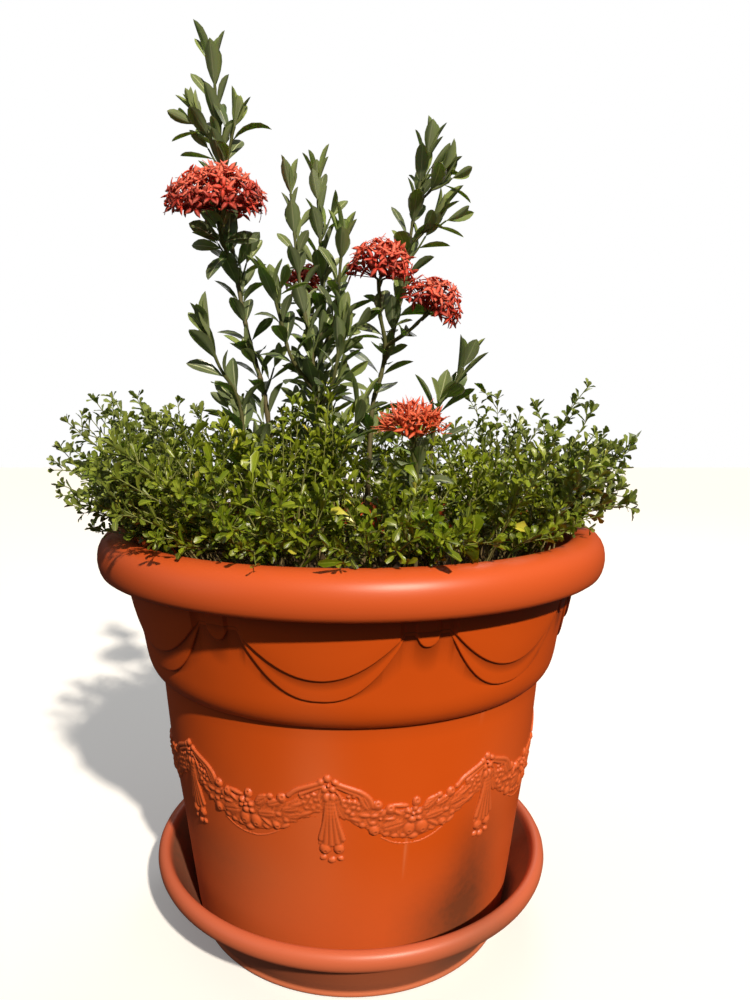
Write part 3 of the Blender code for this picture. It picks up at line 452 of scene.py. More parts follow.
def startTree(name, inputs):
    # a new tree with its named inputs; every tree takes geometry and a finish
    tree = bpy.data.node_groups.new(name, "GeometryNodeTree")
    first = (("Geometry", "Geometry", None), ("Finish", "Material", None))
    for label, kind, value in (*first, *inputs):
        socket = tree.interface.new_socket(label, in_out="INPUT", socket_type="NodeSocket" + kind)
        if value is not None:
            socket.default_value = value
    tree.interface.new_socket("Geometry", in_out="OUTPUT", socket_type="NodeSocketGeometry")
    return tree, addNode(tree, "NodeGroupInput").outputs


def endTree(tree, given, made):
    # real faces with their material
    real = addNode(tree, "GeometryNodeRealizeInstances", {"Geometry": made})
    finished = addNode(tree, "GeometryNodeSetMaterial", {"Geometry": real, "Material": given["Finish"]})
    addNode(tree, "NodeGroupOutput", {"Geometry": finished})
    return tree


def copyTree():
    # one copy of a picked shape on every point, turned by "facing", sized by "size", with a little chance
    tree, given = startTree("copiesOnPoints", (
        ("Shapes", "Collection", None), ("Size", "Float", 1.0), ("Size spread", "Float", 0.1),
        ("Turn spread", "Float", 0.1), ("Seed", "Int", 1)))
    shapes = addNode(tree, "GeometryNodeCollectionInfo", {
        "Collection": given["Shapes"], "Separate Children": True, "Reset Children": True})
    facing, size = (addNode(tree, "GeometryNodeInputNamedAttribute", {"Name": name},
                            data_type="FLOAT_VECTOR") for name in ("facing", "size"))
    pick = addNode(tree, "GeometryNodeInputNamedAttribute", {"Name": "pick"}, data_type="FLOAT")
    negative = addNode(tree, "ShaderNodeMath", {0: given["Turn spread"], 1: -1.0}, operation="MULTIPLY")
    sway = addNode(tree, "FunctionNodeRandomValue",
                   {"Min": negative, "Max": given["Turn spread"], "Seed": given["Seed"]},
                   data_type="FLOAT_VECTOR")
    turn = addNode(tree, "FunctionNodeEulerToRotation", {"Euler": facing})
    extra = addNode(tree, "FunctionNodeEulerToRotation", {"Euler": sway})
    turned = addNode(tree, "FunctionNodeRotateRotation", {"Rotation": turn, "Rotate By": extra},
                     rotation_space="LOCAL")
    least = addNode(tree, "ShaderNodeMath", {0: 1.0, 1: given["Size spread"]}, operation="SUBTRACT")
    most = addNode(tree, "ShaderNodeMath", {0: 1.0, 1: given["Size spread"]}, operation="ADD")
    grown = addNode(tree, "FunctionNodeRandomValue", {"Min": least, "Max": most, "Seed": given["Seed"]},
                    data_type="FLOAT")
    scale = addNode(tree, "ShaderNodeMath", {0: grown, 1: given["Size"]}, operation="MULTIPLY")
    sized = addNode(tree, "ShaderNodeVectorMath", {0: size, "Scale": scale}, operation="SCALE")
    index = addNode(tree, "FunctionNodeFloatToInt", {"Float": pick})
    return endTree(tree, given, addNode(tree, "GeometryNodeInstanceOnPoints", {
        "Points": given["Geometry"], "Instance": shapes, "Pick Instance": True, "Instance Index": index,
        "Rotation": turned, "Scale": sized}))


def stemTree():
    # a round stem along every chain of edges, as thick as "thickness" says
    tree, given = startTree("roundStems", (("Sides", "Int", 6), ("Thickness", "Float", 1.0)))
    lines = addNode(tree, "GeometryNodeMeshToCurve", {"Mesh": given["Geometry"]})
    ring = addNode(tree, "GeometryNodeCurvePrimitiveCircle",
                   {"Resolution": given["Sides"], "Radius": 1.0})
    thick = addNode(tree, "GeometryNodeInputNamedAttribute", {"Name": "thickness"}, data_type="FLOAT")
    width = addNode(tree, "ShaderNodeMath", {0: thick, 1: given["Thickness"]}, operation="MULTIPLY")
    return endTree(tree, given, addNode(tree, "GeometryNodeCurveToMesh", {
        "Curve": lines, "Profile Curve": ring, "Scale": width, "Fill Caps": True}))


def crumbTree():
    # crumbs scattered over a surface, each lying its own way
    tree, given = startTree("crumbsOnSoil", (
        ("Shapes", "Collection", None), ("Crumbs per m2", "Float", 9000.0), ("Smallest", "Float", 0.003),
        ("Largest", "Float", 0.009), ("Seed", "Int", 5)))
    shapes = addNode(tree, "GeometryNodeCollectionInfo", {
        "Collection": given["Shapes"], "Separate Children": True, "Reset Children": True})
    spots = addNode(tree, "GeometryNodeDistributePointsOnFaces",
                    {"Mesh": given["Geometry"], "Density": given["Crumbs per m2"], "Seed": given["Seed"]})
    tumble = addNode(tree, "FunctionNodeRandomValue",
                     {"Min": (0, 0, 0), "Max": (6.28, 6.28, 6.28), "Seed": given["Seed"]},
                     data_type="FLOAT_VECTOR")
    turn = addNode(tree, "FunctionNodeEulerToRotation", {"Euler": tumble})
    grown = addNode(tree, "FunctionNodeRandomValue",
                    {"Min": given["Smallest"], "Max": given["Largest"], "Seed": given["Seed"]},
                    data_type="FLOAT")
    shade = addNode(tree, "FunctionNodeRandomValue", {"Min": 0.0, "Max": 1.0, "Seed": 9},
                    data_type="FLOAT")
    toned = addNode(tree, "GeometryNodeStoreNamedAttribute",
                    {"Geometry": spots, "Name": "tone", "Value": shade},
                    data_type="FLOAT", domain="POINT")
    return endTree(tree, given, addNode(tree, "GeometryNodeInstanceOnPoints", {
        "Points": toned, "Instance": shapes, "Pick Instance": True, "Rotation": turn, "Scale": grown}))


def bakeNodes(item, tree, **values):
    # the tree as a modifier, its named inputs set by identifier, then the result as a plain mesh
    work = item.modifiers.new("nodes", "NODES")
    work.node_group = tree
    for socket in tree.interface.items_tree:
        key = socket.name.replace(" ", "_")
        if socket.in_out == "INPUT" and key in values:
            work[socket.identifier] = values[key]
    graph = bpy.context.evaluated_depsgraph_get()
    mesh = bpy.data.meshes.new_from_object(item.evaluated_get(graph))
    item.modifiers.clear()
    item.data = mesh
    mesh.name = item.name
    return item


copiesOnPoints = copyTree()
roundStems = stemTree()
crumbsOnSoil = crumbTree()


def shapeSet(name, shapes):
    # prototypes in their own collection, kept out of the scene; their names give the order
    group = bpy.data.collections.new(name)
    for number, shape in enumerate(shapes):
        bpy.context.scene.collection.objects.unlink(shape)
        shape.name = f"{name}{number:02d}"
        group.objects.link(shape)
    return group


def dropSet(group):
    for shape in list(group.objects):
        bpy.data.objects.remove(shape, do_unlink=True)
    bpy.data.collections.remove(group)


class Spots:
    # places for copies, gathered before the nodes make them
    def __init__(self):
        self.points, self.facing, self.size, self.tone, self.pick = [], [], [], [], []

    def add(self, place, direction, up, size, tone, pick):
        along, across, above = frameOf(direction, up)
        turn = Matrix((across, along, above)).transposed()
        self.points.append(tuple(place))
        self.facing.append(tuple(turn.to_euler("XYZ")))
        self.size.append(size if isinstance(size, tuple) else (size, size, size))
        self.tone.append(tone)
        self.pick.append(pick)

    def bake(self, name, shapes, finish, sizeSpread, turnSpread, seed):
        item = meshPiece(name, self.points, [])
        for key in ("facing", "size", "tone", "pick"):
            setAttribute(item, key, getattr(self, key))
        return bakeNodes(item, copiesOnPoints, Shapes=shapes, Size=1.0, Size_spread=sizeSpread,
                         Turn_spread=turnSpread, Seed=seed, Finish=finish)


class Stems:
    # chains of points with a thickness and a tone, turned into round stems by the nodes
    def __init__(self):
        self.points, self.edges, self.thickness, self.tone = [], [], [], []

    def add(self, path, thick, thin, toneFrom=0.0, toneTo=1.0, joints=(), swell=0.3):
        start = len(self.points)
        last = len(path) - 1
        for k, point in enumerate(path):
            share = k / last
            radius = thick + (thin - thick) * share
            for joint in joints:
                radius *= 1 + swell * math.exp(-((point - joint).length / 0.0022) ** 2)
            self.points.append(tuple(point))
            self.thickness.append(radius)
            self.tone.append(toneFrom + (toneTo - toneFrom) * share)
        self.edges += [(start + k, start + k + 1) for k in range(last)]

    def bake(self, name, finish, sides):
        item = meshPiece(name, self.points, [], edges=self.edges)
        setAttribute(item, "thickness", self.thickness)
        setAttribute(item, "tone", self.tone)
        return bakeNodes(item, roundStems, Sides=sides, Thickness=1.0, Finish=finish)


# ---- the pot: one turned wall, with the draped swags stepped out of its collar

# swags: how far each arc sags and the power of its curve; the drop is the short fold between two swags
potSet = {"columns": 560, "bowAzimuth": -6.6, "pitches": 8, "smooth": 38, "paintedCreaseShade": (0.7, 1.0, 0.6),
          "swagAngle": 17.3, "swagStep": 0.0022, "swagEnd": 0.8, "edgeRound": 0.0006, "leastGap": 0.0026,
          "outerLow": 0.2925, "outerSag": 0.0515, "outerPower": 2.4,
          "innerLow": 0.311, "innerSag": 0.037, "innerPower": 2.0,
          "dropFrom": 20.0, "dropTo": 22.5, "dropLow": 0.3368, "dropRise": 0.0085, "dropTop": 0.35,
          "plainLow": 0.347, "collarLow": 0.291, "collarHigh": 0.362}
# profiles as (radius, height): the plain side that the ornament stands on, then the rows of the real wall
potSide = ((0.1625, 0.022), (0.1765, 0.131), (0.185, 0.187), (0.192, 0.2645), (0.199, 0.273),
           (0.2068, 0.29), (0.2092, 0.305), (0.2201, 0.3635))
potFoot = ((0.15, 0.0083), (0.157, 0.0084), (0.16, 0.01), (0.1613, 0.013), (0.1625, 0.022))
potWall = ((0.164, 0.034), (0.1695, 0.076), (0.1748, 0.118), (0.1793, 0.15), (0.183, 0.175),
           (0.1862, 0.2), (0.1885, 0.226), (0.1906, 0.25), (0.1917, 0.262))
potShoulder = ((0.1918, 0.2636), (0.1921, 0.2646), (0.1932, 0.2652), (0.1955, 0.2664), (0.1985, 0.269),
               (0.2011, 0.2724), (0.2033, 0.2766), (0.205, 0.2815), (0.2062, 0.2865), (0.207, 0.2905))
potRim = ((0.2206, 0.3642), (0.2222, 0.3648), (0.23, 0.3652), (0.24, 0.3657), (0.2442, 0.3663),
          (0.2463, 0.3678), (0.2477, 0.3706), (0.2488, 0.3745), (0.2495, 0.3795), (0.2493, 0.3845),
          (0.2484, 0.3895), (0.2464, 0.3942), (0.2432, 0.3982), (0.2388, 0.401), (0.2335, 0.4026),
          (0.2275, 0.403), (0.2225, 0.4018), (0.2187, 0.399), (0.2166, 0.395), (0.2152, 0.389))
potInside = ((0.214, 0.38), (0.2115, 0.37), (0.2065, 0.335), (0.2026, 0.293), (0.1878, 0.267),
             (0.17, 0.13), (0.153, 0.0125))


def between(profile, height):
    for (r0, z0), (r1, z1) in zip(profile, profile[1:]):
        if z0 <= height <= z1:
            return r0 + (r1 - r0) * (height - z0) / (z1 - z0)
    return profile[0][0] if height < profile[0][1] else profile[-1][0]


def fromBow(azimuth):
    pitch = 360.0 / potSet["pitches"]
    return (azimuth - potSet["bowAzimuth"] + pitch / 2) % pitch - pitch / 2


def stepRows(low, lowProud, highProud):
    # a rounded step in the collar: its foot, its face and its upper edge, as (height, how far out)
    edge, rise = potSet["edgeRound"], highProud - lowProud
    foot = [(low - 0.0002, lowProud), (low, lowProud + 0.05 * rise)]
    rounding = ((0.25, 0.45), (0.7, 0.8), (1.5, 0.96), (2.8, 1.0))
    return foot + [(low + along * edge, lowProud + share * rise) for along, share in rounding]


def swagArcs(azimuth):
    # heights of the outer and inner arc and how far each stands out; they fade under the rim
    turn = abs(fromBow(azimuth))
    rise = min(turn / potSet["swagAngle"], 1.0)
    step = potSet["swagStep"]
    if turn <= potSet["swagAngle"]:
        hold = min(1.0, (potSet["swagAngle"] - turn) / potSet["swagEnd"])
        return (potSet["outerLow"] + potSet["outerSag"] * rise ** potSet["outerPower"],
                potSet["innerLow"] + potSet["innerSag"] * rise ** potSet["innerPower"], step * hold,
                step * (1 + hold) * hold)
    drop = (turn - potSet["dropFrom"]) / (potSet["dropTo"] - potSet["dropFrom"])
    if drop > 0:
        return potSet["dropLow"] + potSet["dropRise"] * (1 - drop) ** 2.5, potSet["dropTop"], step, step
    return potSet["plainLow"], potSet["dropTop"], 0.0, 0.0


def buildPot():
    columns, creases = [], []
    below = [*potFoot, *potWall, *potShoulder]
    for k in range(potSet["columns"]):
        azimuth = 360.0 * k / potSet["columns"]
        outer, inner, firstProud, secondProud = swagArcs(azimuth)
        relief = [((potSet["collarLow"] + outer) / 2, 0.0), *stepRows(outer, 0.0, firstProud)]
        gap = max(inner - outer - 0.004, 0.0004)
        relief.append((outer + potSet["swagStep"] + gap / 2, firstProud))
        relief += stepRows(max(inner, outer + potSet["leastGap"]), firstProud, secondProud)
        top = relief[-1][0]
        relief += [(top + (potSet["collarHigh"] - top) * t, secondProud) for t in (0.35, 0.7, 1.0)]
        collar = [(between(potSide, z) + proud, z) for z, proud in relief]
        columns.append([around(azimuth, r, z) for r, z in (*below, *collar, *potRim, *potInside)])
        soiledAndShaded = [0.0] * len(columns[0])
        for first in (len(below) + 1, len(below) + 8):     # painted shade at the foot of each step, where the step's shadow falls
            soiledAndShaded[first:first + 3] = potSet["paintedCreaseShade"]
        creases.append(soiledAndShaded)
    pot = turnedPiece("plantPot", list(zip(*columns)), potFoot[0][1], potInside[-1][1], potPlastic,
                      potSet["smooth"])
    paintWearAndShade(pot, [value for ring in zip(*creases) for value in ring] + [0.0, 0.0])
    return pot


# pale rubs on the wall: start and end as (azimuth, height), half width, strength
potRubs = (((0.3, 0.253), (1.6, 0.2585), 0.0011, 0.55), ((18.6, 0.2205), (18.2, 0.2065), 0.0011, 0.6),
           ((14.9, 0.15), (14.4, 0.134), 0.0012, 0.75), ((35.6, 0.262), (37.4, 0.27), 0.001, 0.45),
           ((-35.5, 0.3), (-33.0, 0.303), 0.0008, 0.35), ((-30.4, 0.285), (-29.2, 0.286), 0.0008, 0.3),
           ((140.0, 0.21), (146.0, 0.196), 0.001, 0.45), ((-118.0, 0.12), (-113.0, 0.127), 0.0012, 0.4))
# soft patches on the wall as (azimuth, height, half width in degrees, half height, strength)
potFilm = ((-9.0, 0.205, 7.0, 0.07, 0.14), (-30.0, 0.12, 26.0, 0.07, 0.16), (47.0, 0.17, 12.0, 0.06, 0.1),
           (150.0, 0.18, 18.0, 0.06, 0.1), (-120.0, 0.16, 16.0, 0.05, 0.1))
# dark soft patches as (azimuth, height, half width in degrees, half height, strength); the three low on
# the front right wall (azimuth 32 to 39) are a painted shadow, and the one at -76 is a painted shadow on
# the rim's left end
potStainsAndShadows = ((39.0, 0.118, 9.5, 0.045, 1.25), (35.0, 0.058, 18.0, 0.044, 1.55),
             (32.0, 0.05, 16.0, 0.026, 1.0), (-76.0, 0.388, 18.0, 0.042, 1.2),
             (-42.0, 0.105, 16.0, 0.036, 0.75), (170.0, 0.07, 25.0, 0.016, 0.8),
             (-110.0, 0.075, 14.0, 0.018, 0.8))


def patches(points, spots):
    # each soft patch fades to all sides
    azimuth = np.degrees(np.arctan2(points[:, 0], -points[:, 1]))
    total = np.zeros(len(points))
    for middle, height, wide, tall, strength in spots:
        turn = (azimuth - middle + 180) % 360 - 180
        total += strength * np.exp(-(turn / wide) ** 2 - ((points[:, 2] - height) / tall) ** 2)
    return total


# the default dark rows (height, reach, strength) are painted shade: bands at the foot of the collar step,
# just under the rim and just above the saucer, where shade falls; the saucer's own rows make it darker
# towards its foot
def paintWearAndShade(item, soiledAndShaded, rubs=potRubs, film=(0.15, 0.05, 0.14), haze=potFilm, stainsAndShadows=potStainsAndShadows,
              dustAndShadeRows=((0.2655, 0.004, 0.55), (0.3645, 0.004, 0.5), (0.058, 0.022, 0.45))):
    points = np.array([v.co for v in item.data.vertices])
    dust = np.maximum(np.zeros(len(points)) + soiledAndShaded, patches(points, stainsAndShadows))
    for height, reach, strength in dustAndShadeRows:
        dust = np.maximum(dust, strength * np.exp(-((points[:, 2] - height) / reach) ** 2))
    radii = np.hypot(points[:, 0], points[:, 1])
    low, full, strength = film
    rub = strength * np.clip((low - points[:, 2]) / (low - full), 0, 1) + patches(points, haze)
    for (a0, z0), (a1, z1), half, strength in rubs:
        start = np.array(around(a0, between(potSide, z0), z0))
        end = np.array(around(a1, between(potSide, z1), z1))
        line = end - start
        t = np.clip((points - start) @ line / (line @ line), 0, 1)
        away = np.linalg.norm(points - start - t[:, None] * line, axis=1)
        taper = np.sin(np.pi * np.clip(0.15 + 0.8 * t, 0, 1))
        mark = strength * np.exp(-(away / half) ** 2) * taper
        rub = np.where(radii > 0.15, np.maximum(rub, mark), rub)
    setAttribute(item, "dust", dust)
    setAttribute(item, "rub", rub)


plantPot = buildPot()
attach(plantPot, "root")
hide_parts("pot")
print("pot built")


# ---- the garlands: fruit, leaves and flowers in low relief, a bow and tassel at each pitch

# metres for the sheet, millimetres for the relief; the line of the swag sags between two bows
garlandSet = {"radius": 0.187, "cell": 0.00088, "low": 0.1365, "high": 0.2245, "sink": 0.0006,
              "kept": -0.0005, "depth": 0.92, "swell": 1.07, "swellAbove": 162.0, "underLeaves": 26,
              "lineTop": 200.0, "lineSag": 25.0, "linePower": 1.15, "bedHeight": 0.45, "bedHalf": 6.5,
              "bedWiden": 7.0, "skirt": 2.1, "bow": 4.3, "tasselTop": 199.5, "tasselHalf": 3.2,
              "tasselFlare": 7.4, "joint": 0.1, "crease": 0.0003, "margin": 20.0}
# kind, place along the wall and height in mm, half length, half width, turn in degrees, height of relief
garlandForms = (
    ("ball", 2.3, 219.8, 3.2, 3.5, 0, 2.6), ("ball", -3.1, 216.6, 2.9, 2.9, 20, 2.4),
    ("ball", 8.7, 216.6, 3.3, 2.6, -20, 2.4), ("ball", -0.3, 210.2, 2.9, 3.0, 0, 2.4),
    ("ball", 6.4, 210.2, 2.9, 2.7, 0, 2.4), ("ball", 3.1, 213.9, 1.5, 1.4, 0, 3.5),
    ("ball", 1.2, 202.6, 2.8, 4.0, 0, 2.5), ("ball", 6.6, 202.9, 2.6, 3.7, 0, 2.3),
    ("fruit", -0.6, 154.6, 5.6, 5.4, -90, 3.0), ("fruit", 11.2, 154.9, 5.2, 5.0, -82, 2.8),
    ("ball", -2.6, 145.4, 3.5, 2.6, 24, 1.8), ("ball", 4.9, 143.4, 3.9, 3.1, 15, 2.2),
    ("ball", 12.6, 145.2, 3.2, 2.6, -19, 1.9),
    ("ball", 19.5, 204.3, 2.0, 1.8, 0, 1.7), ("ball", 24.0, 204.3, 2.1, 1.8, 0, 1.7),
    ("ball", 15.5, 200.2, 1.8, 1.7, 0, 1.6), ("ball", 20.0, 199.6, 2.1, 2.1, 0, 1.9),
    ("ball", 24.5, 199.0, 2.2, 2.1, 0, 1.9), ("ball", 16.7, 195.6, 2.0, 1.9, 0, 1.7),
    ("ball", 18.9, 190.8, 2.8, 2.4, 20, 2.1), ("ball", 23.5, 194.4, 2.1, 2.1, 0, 1.8),
    ("ball", 27.5, 193.2, 2.1, 1.9, 0, 1.8), ("ball", 22.7, 187.9, 2.6, 2.2, 12, 1.9),
    ("ball", 27.6, 197.2, 1.8, 1.8, 0, 1.6), ("leaf", 33.2, 198.4, 9.5, 4.5, -58, 2.2),
    ("fruit", 43.6, 195.6, 4.2, 4.2, 80, 2.6), ("oval", 33.1, 187.0, 5.4, 2.3, -6, 1.9),
    ("oval", 41.2, 186.3, 3.7, 2.2, 10, 2.2), ("oval", 25.0, 183.2, 5.2, 2.0, -22, 1.7),
    ("ball", 31.2, 177.6, 3.0, 2.8, 0, 1.9), ("ball", 39.6, 179.2, 3.3, 2.3, 0, 1.9),
    ("fruit", 41.1, 172.2, 5.0, 4.6, -60, 2.6), ("ball", 46.2, 182.9, 1.5, 1.5, 0, 2.4),
    ("oval", 48.9, 188.2, 4.3, 2.1, 60, 1.9), ("fruit", 54.5, 191.2, 4.5, 4.3, 90, 2.9),
    ("oval", 63.1, 193.6, 7.6, 2.2, -8, 1.8), ("oval", 60.3, 188.0, 6.2, 1.9, -35, 1.9),
    ("leaf", 57.2, 175.6, 10.9, 6.6, 12, 2.1), ("oval", 54.3, 182.3, 5.4, 1.7, 0, 2.2),
    ("ball", 51.6, 168.0, 3.2, 2.6, 20, 1.8), ("ball", 59.0, 165.6, 3.2, 2.4, 0, 1.7),
    ("ball", 66.6, 164.9, 3.1, 2.5, 0, 1.9), ("fruit", 71.6, 170.6, 6.2, 5.2, -100, 2.6),
    ("fruit", 83.3, 170.6, 6.6, 5.7, -80, 2.9), ("ball", 76.0, 163.0, 4.6, 2.9, 0, 2.1),
    ("ball", 74.4, 185.0, 1.8, 1.8, 0, 3.5), ("ball", 70.4, 187.8, 3.2, 2.6, -30, 2.9),
    ("ball", 76.2, 189.6, 2.8, 2.3, 60, 2.7), ("ball", 79.2, 185.6, 3.1, 2.5, 5, 2.8),
    ("ball", 74.0, 179.4, 3.7, 3.1, 0, 3.0), ("ball", 79.9, 180.0, 3.1, 2.5, -30, 2.8),
    ("ball", 69.2, 183.2, 2.7, 2.3, 25, 2.6), ("fruit", 77.2, 195.4, 4.4, 3.9, 90, 2.4),
    ("leaf", 94.8, 180.6, 11.8, 4.4, 9, 2.2), ("leaf", 90.4, 192.6, 9.8, 4.4, 38, 2.2),
    ("leaf", 101.9, 192.0, 8.6, 3.6, 22, 2.1), ("oval", 94.0, 172.6, 7.4, 2.1, -35, 2.0),
    ("ball", 92.6, 167.4, 3.7, 2.1, -24, 1.6), ("ball", 105.9, 182.4, 3.0, 2.6, 0, 2.0),
    ("fruit", 103.0, 171.2, 4.4, 3.6, -40, 2.3), ("ball", 112.6, 177.6, 3.1, 2.5, 20, 1.8),
    ("oval", 111.0, 171.6, 5.0, 2.1, 34, 1.7), ("ball", 98.5, 197.6, 3.2, 2.7, 30, 2.0),
    ("fruit", 109.3, 197.8, 4.5, 4.3, 60, 2.6), ("leaf", 116.8, 189.0, 10.4, 2.8, 14, 1.9),
    ("leaf", 121.3, 183.2, 10.4, 2.5, 16, 1.8), ("oval", 122.7, 194.2, 7.2, 1.9, 24, 1.7),
    ("oval", 129.4, 186.4, 7.2, 1.9, 24, 1.5), ("ball", 129.1, 197.2, 2.2, 1.8, 0, 1.6),
    ("ball", 132.3, 202.2, 2.2, 1.8, 0, 1.6), ("ball", 134.9, 197.4, 2.2, 1.8, 0, 1.6),
    ("ball", 131.2, 192.2, 2.1, 1.7, 0, 1.6), ("ball", 139.4, 200.0, 2.2, 1.8, 0, 1.6),
    ("ball", 137.2, 204.6, 2.1, 1.7, 0, 1.6), ("ball", 127.2, 201.6, 2.0, 1.6, 0, 1.5),
    ("ball", 137.0, 192.7, 2.1, 1.7, 0, 1.5), ("ball", 141.6, 195.2, 2.2, 1.8, 0, 1.5),
)
# folds of ribbon: the run of points, half width at each end, height of relief
garlandRibbons = (
    (((10.2, 215.4), (19.5, 211.8), (29.4, 207.9), (36.4, 202.4), (40.2, 194.6)), 2.0, 2.4, 1.9),
    (((9.8, 212.8), (18.2, 209.0), (27.0, 205.2), (31.0, 200.0)), 1.9, 1.9, 1.7),
    (((9.0, 209.6), (13.2, 203.0), (15.0, 196.0)), 1.3, 1.0, 1.6),
    (((144.0, 216.0), (132.6, 211.6), (122.6, 207.2), (115.8, 201.6)), 2.0, 2.4, 1.9),
    (((143.6, 212.6), (134.0, 208.0), (126.0, 203.8)), 1.9, 1.9, 1.7),
    (((143.2, 209.0), (141.6, 203.0), (143.0, 198.0)), 1.2, 1.0, 1.5),
    (((47.8, 164.2), (58.0, 158.8), (70.0, 156.2), (82.0, 156.4), (94.0, 160.0), (104.0, 165.6)),
     0.9, 0.9, 0.6),
    (((1.4, 199.5), (-0.8, 180.0), (-4.2, 164.0)), 1.0, 2.8, 1.7),
    (((2.8, 199.5), (1.6, 180.0), (0.2, 160.4)), 1.0, 2.9, 2.0),
    (((4.3, 199.5), (4.6, 180.0), (5.0, 159.4)), 1.0, 3.0, 2.2),
    (((5.8, 199.5), (7.6, 180.0), (9.8, 161.2)), 1.0, 2.9, 2.0),
    (((7.2, 199.5), (10.6, 180.0), (14.6, 164.2)), 1.0, 2.7, 1.7),
)


def garlandHeight(s, z):
    # the relief's height over a grid of places (along the wall and up), as one soft moulded skin
    total = np.full(s.shape, -1.0)
    pitch = math.tau * garlandSet["radius"] * 1000 / potSet["pitches"]
    skirt, margin, depth = garlandSet["skirt"], garlandSet["margin"], garlandSet["depth"]

    def lay(height):
        # the higher of the two, with a little moulded fillet where they meet
        nonlocal total
        top, low = np.maximum(total, height), np.minimum(total, height)
        total = top + garlandSet["joint"] * np.exp(-np.abs(total - height) / 0.3) * (low > -0.6)

    def lineOf(place):
        # the middle of the swag at a place along the wall, and its share of the way from the bow
        share = np.abs((place / pitch + 0.5) % 1.0 - 0.5) * 2
        sag = garlandSet["lineSag"] * np.sin(share * math.pi / 2) ** garlandSet["linePower"]
        return garlandSet["lineTop"] - sag, share

    def leafForm(u, v, a, b, rise):
        # a pointed leaf with a sunk midrib and fine side veins
        width = np.clip(1 - np.abs(u) ** 1.7, 0.0, 1)
        q = np.abs(v) / np.maximum(width, 0.05)
        height = rise * np.sqrt(np.clip(1 - q ** 2, 0, 1)) * np.clip(width * 1.6, 0, 1)
        height -= 0.75 * np.exp(-(v * b / 0.6) ** 2) * (width > 0.1)
        veins = 1 + np.cos((u * a + np.abs(v) * b * 0.9) * math.tau / 1.9)
        height -= 0.3 * veins * (q < 0.85) * (width > 0.1)
        return np.where(q < 1, height, -1.0)

    def roundForm(u, v, a, b, rise, kind):
        r = np.sqrt(u ** 2 + v ** 2)
        height = rise * np.clip(1 - r ** 2, 0, 1) ** 0.62
        if kind == "fruit":                        # the calyx: a dimple with a small crown in it
            d = np.sqrt(((u - 0.35) * a) ** 2 + (v * b) ** 2)
            height += 0.5 * np.exp(-((d - 1.8) / 0.6) ** 2) - 1.1 * np.exp(-(d / 1.0) ** 2)
        return np.where(r < 1, height, -1.0)

    line, share = lineOf(s)
    edge = np.abs(z - line) - garlandSet["bedHalf"] - garlandSet["bedWiden"] * share
    lay(garlandSet["bedHeight"] - skirt * np.clip(edge / 2.8, 0, 1))
    awayBow = np.abs((s + pitch / 2 - garlandSet["bow"]) % pitch - pitch / 2)
    fall = np.clip((garlandSet["tasselTop"] - z) / 40.0, 0, 1)
    fold = garlandSet["tasselHalf"] + garlandSet["tasselFlare"] * fall
    lay(0.6 - skirt * np.clip((awayBow - fold) / 1.6, 0, 1) - 4.0 * ((z < 158.5) | (z > 201.0)))
    under = []                     # a layer of plain leaves that fills the swag behind the fruit
    for k in range(garlandSet["underLeaves"]):
        place = pitch * (k + 0.5) / garlandSet["underLeaves"]
        side = 1 if k % 2 else -1
        level, part = lineOf(place)
        slope = math.degrees(math.atan2(lineOf(place + 2)[0] - lineOf(place - 2)[0], 4.0))
        level += side * (3.5 + 4.0 * part)
        under.append(("leaf", place, level, 9.0, 4.2, slope + side * 38.0, 1.2))
    for shift in (-pitch, 0.0, pitch):
        for kind, cs, cz, a, b, turn, rise in (*under, *garlandForms):
            if not -margin < cs + shift < pitch + margin:
                continue
            if cz > garlandSet["swellAbove"]:
                a, b = a * garlandSet["swell"], b * garlandSet["swell"]
            t = math.radians(turn)
            u = ((s - cs - shift) * math.cos(t) + (z - cz) * math.sin(t)) / a
            v = (-(s - cs - shift) * math.sin(t) + (z - cz) * math.cos(t)) / b
            near = (np.abs(u) < 1.3) & (np.abs(v) < 1.6)
            height = leafForm(u, v, a, b, rise) if kind == "leaf" else roundForm(u, v, a, b, rise, kind)
            height = np.where(height > 0, height * depth, height)
            lay(np.where(near, height, -1.0))
        for run, thin, wide, rise in garlandRibbons:
            if not -margin < run[0][0] + shift < pitch + margin:
                continue
            path = smoothPath([(p[0] + shift, p[1], 0) for p in run], 1.2)
            best = np.full(s.shape, 9.0)
            for k, point in enumerate(path):
                width = thin + (wide - thin) * k / (len(path) - 1)
                best = np.minimum(best, np.hypot(s - point.x, z - point.y) / width)
            lay(np.where(best < 1, rise * depth * np.sqrt(np.clip(1 - best ** 2, 0, 1)), -1.0))
    return total


